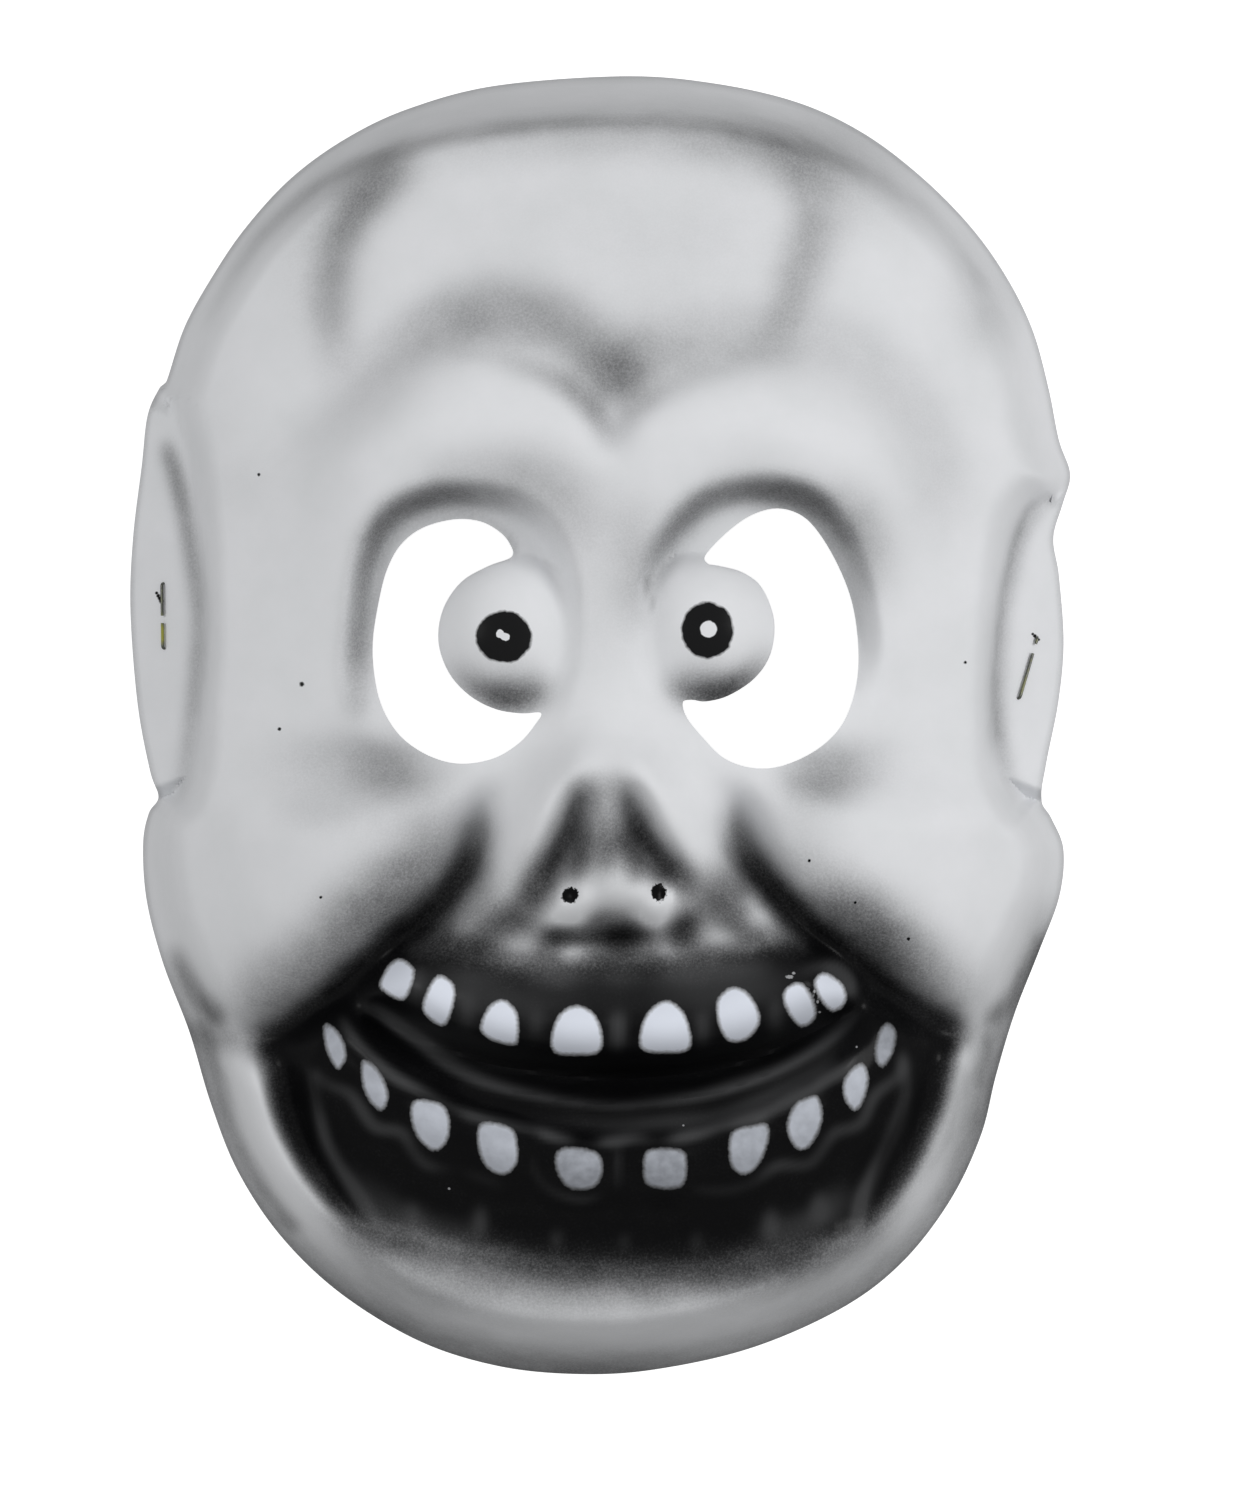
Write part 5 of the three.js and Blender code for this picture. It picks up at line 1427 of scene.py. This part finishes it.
bare_foam(foam_slots[BARE])
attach(mask, "root")
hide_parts("mask_shell")
print("the mask has", len(mask.data.materials), "materials")

# %% [markdown]
# A staple is one length of wire, bent four times. Its crown lies behind the tab, its legs go through the
# foam, and their ends are folded in over the front. A worn stapler folds them unevenly, so each end has its
# own length. Here a small round face is the wire's end: it is pulled along each straight run and spun
# through each bend, so the wire keeps its thickness all the way.

# %% Bending a staple
STAPLE_LENGTH = 13
WIRE_THICK, WIRE_WIDE = 0.5, 0.6
WIRE_SIDES = 12
WIRE_BEND = 0.5
BEND_STEPS = 5
QUARTER_TURN = math.pi / 2
CLEAR = 0.3                     # between the wire and the foam


def pulled(wire, cap, along):
    made = bmesh.ops.extrude_face_region(wire, geom=[cap])["geom"]
    bmesh.ops.translate(wire, verts=[v for v in made if isinstance(v, bmesh.types.BMVert)], vec=along)
    return next(face for face in made if isinstance(face, bmesh.types.BMFace))


def spun(wire, cap, centre):
    made = bmesh.ops.spin(
        wire, geom=[cap], cent=centre, axis=(1, 0, 0), angle=-QUARTER_TURN, steps=BEND_STEPS)
    return next(face for face in made["geom_last"] if isinstance(face, bmesh.types.BMFace))


def bent_wire(upper, lower):
    """A closed staple in its own frame, in millimetres: Y along the crown, Z out of the foam."""
    half = (STAPLE_LENGTH - WIRE_THICK) / 2
    front = CLEAR + WIRE_THICK / 2
    depth = FOAM + 2 * CLEAR + WIRE_THICK
    leg, crown = depth - 2 * WIRE_BEND, 2 * half - 2 * WIRE_BEND
    runs = [upper - WIRE_BEND, leg, crown, leg, lower - WIRE_BEND]
    wire = bmesh.new()
    bmesh.ops.create_circle(wire, cap_ends=True, segments=WIRE_SIDES, radius=WIRE_THICK / 2)
    bmesh.ops.scale(wire, verts=wire.verts, vec=(WIRE_WIDE / WIRE_THICK, 1, 1))
    turn = Matrix.Rotation(-QUARTER_TURN, 4, "X")
    start = Vector((0, half - upper, front))
    bmesh.ops.transform(wire, matrix=Matrix.Translation(start) @ turn, verts=wire.verts)
    wire.faces.ensure_lookup_table()
    cap = wire.faces[0]
    heading = Vector((0, 1, 0))
    for number, length in enumerate(runs):
        cap = pulled(wire, cap, heading * length)
        if number < len(runs) - 1:
            inwards = Vector((0, heading.z, -heading.y))
            cap = spun(wire, cap, cap.calc_center_median() + inwards * WIRE_BEND)
            heading = inwards
    bmesh.ops.recalc_face_normals(wire, faces=wire.faces)
    return wire


print("the crown is", STAPLE_LENGTH, "mm long")

# %% [markdown]
# The staples' steel is dark, with a yellow green stain where one staple has kept some of its plating. Metal
# needs a low roughness that varies, or it looks like grey plastic at this small size.

# %% Tarnished steel
STEEL_COLOUR = (0.12, 0.125, 0.11, 1)
TARNISH_COLOUR = (0.42, 0.42, 0.09, 1)
TARNISH_SIZE = (1.3, 1.7)
TARNISH_PATCHES = (1.3, 3.0, 0.5, (0.5, 0.7), (0.0, 0.15))
STEEL_ROUGHNESS = (0.34, 0.7)   # of clean steel and of tarnish
STEEL_METALLIC = 0.8


def tarnished_steel(material, tarnish_at, most):
    tree, shader, place = start_material(material)
    stain = product(tree, spot(tree, place, tarnish_at, TARNISH_SIZE, "stain"), most)
    share = most_of(tree, [stain, patchy(tree, place, *TARNISH_PATCHES)])
    tree.links.new(mix_colours(tree, share, STEEL_COLOUR, TARNISH_COLOUR), shader.inputs["Base Color"])
    tree.links.new(rescale(tree, share, (0.0, 1.0), STEEL_ROUGHNESS), shader.inputs["Roughness"])
    shader.inputs["Metallic"].default_value = STEEL_METALLIC


print("a stain is", 2 * TARNISH_SIZE[1], "mm long")

# %% [markdown]
# Each staple is bent in its own frame and then laid on its tab. The tab slopes outwards, so the frame's
# third axis is the tab's own upright, and the staple is turned about it by its lean.

# %% Placing the staples
STAPLES = {                     # tab, place on it, lean in degrees, the folded ends' lengths, tarnish
    "staple_left": (0, (-84, 21), 1, (6.2, 4.9), 1.0),
    "staple_right": (1, (82.1, 11), -20, (1.3, 9.2), 0.2),
}
TARNISH_SHIFT = (-0.5, -3.4)    # of the stain from the staple's middle


def tab_frame(tab, middle, lean):
    """Turns and moves a staple's own frame onto the outer face of its tab."""
    x, y = middle
    height = float(tab_height(tab, np.array(x), np.array(y)))
    out = Vector((tab["side"] * TAB_SLOPE, 0, 1)).normalized()
    along = Matrix.Rotation(math.radians(lean), 3, out) @ Vector((0, 1, 0))
    across = along.cross(out)
    turned = Matrix((across, along, out)).transposed().to_4x4()
    return Matrix.Translation((x, y, height)) @ turned


for name, (tab_number, middle, lean, ends, tarnish) in STAPLES.items():
    wire = bent_wire(*ends)
    bmesh.ops.transform(wire, matrix=tab_frame(TABS[tab_number], middle, lean), verts=wire.verts)
    bmesh.ops.scale(wire, verts=wire.verts, vec=(MM, MM, MM))
    staple = mesh_object(name.replace("staple", "wire_staple"), wire)
    staple.data.shade_smooth()
    staple.data.set_sharp_from_angle(angle=math.radians(SHARP_ANGLE))
    steel = bpy.data.materials.new("tarnished steel " + name)
    tarnished_steel(steel, (middle[0] + TARNISH_SHIFT[0], middle[1] + TARNISH_SHIFT[1]), tarnish)
    staple.data.materials.append(steel)
    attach(staple, "root")
    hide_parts(name)
    print(name, "has", len(staple.data.polygons), "faces")

# %% [markdown]
# The stage is a pale floor that glows a little, like the light table that cut-out pictures are taken on, so
# the eye holes show nearly white. It doesn't light the mask from below: its glow is hidden from everything
# but the camera.

# %% The floor
FLOOR_SIZE = 60
FLOOR_DROP = 0.1                # below the rim, so that the two never share a plane
FLOOR_COLOUR = (0.5, 0.5, 0.5, 1)
FLOOR_GLOW = 0.91
WHITE = (1, 1, 1, 1)


def pale_floor():
    sheet = bmesh.new()
    bmesh.ops.create_grid(sheet, x_segments=1, y_segments=1, size=FLOOR_SIZE / 2)
    bmesh.ops.translate(sheet, verts=sheet.verts, vec=(0, 0, -FLOOR_DROP * MM))
    floor = mesh_object("floor", sheet)
    material = bpy.data.materials.new("pale floor")
    shader = start_material(material)[1]
    finish = {"Base Color": FLOOR_COLOUR, "Roughness": 1.0, "Specular IOR Level": 0.0}
    finish |= {"Emission Color": WHITE, "Emission Strength": FLOOR_GLOW}
    for socket, value in finish.items():
        shader.inputs[socket].default_value = value
    floor.data.materials.append(material)
    floor.visible_diffuse = False
    floor.visible_glossy = False


pale_floor()
print("the floor lies", FLOOR_DROP, "mm below the rim")

# %% [markdown]
# Two large soft lamps stand left and right, as beside a copying stand, so the crown and the chin turn
# darker than the temples. The right one is stronger. A pale sky, darker below the horizon, fills the rest
# in, as the walls of a room would.

# %% Lamps and sky
LAMPS = {                       # place and size in metres, power in watts
    "left lamp": ((-2.5, 0.6, 1.9), 1.6, 24),
    "right lamp": ((2.5, 0.7, 1.9), 1.6, 44),
}
SKY_LIGHT = 0.47
TABLE_LIGHT = 0.22
HORIZON = (-0.25, 0.1)          # heights of the direction between which one runs into the other


def soft_lamp(name, place, size, power):
    lamp = bpy.data.lights.new(name, "AREA")
    lamp.shape = "DISK"
    lamp.size = size
    lamp.energy = power
    holder = bpy.data.objects.new(name, lamp)
    holder.location = place
    holder.rotation_mode = "QUATERNION"
    holder.rotation_quaternion = (-Vector(place)).to_track_quat("-Z", "Y")
    bpy.context.scene.collection.objects.link(holder)


def soft_sky():
    """An even sky that is darker below the horizon, where the table would take the light."""
    world = bpy.data.worlds.new("soft sky")
    world.use_nodes = True
    tree = world.node_tree
    direction = add_node(tree, "ShaderNodeTexCoord").outputs["Generated"]
    height = add_node(tree, "ShaderNodeSeparateXYZ", {0: direction}).outputs["Z"]
    strength = rescale(tree, height, HORIZON, (TABLE_LIGHT, SKY_LIGHT))
    tree.links.new(strength, tree.nodes["Background"].inputs["Strength"])
    tree.nodes["Background"].inputs["Color"].default_value = WHITE
    bpy.context.scene.world = world


for name, (place, size, power) in LAMPS.items():
    soft_lamp(name, place, size, power)
soft_sky()
bpy.context.scene.view_settings.view_transform = "Standard"
print(len(LAMPS), "lamps")
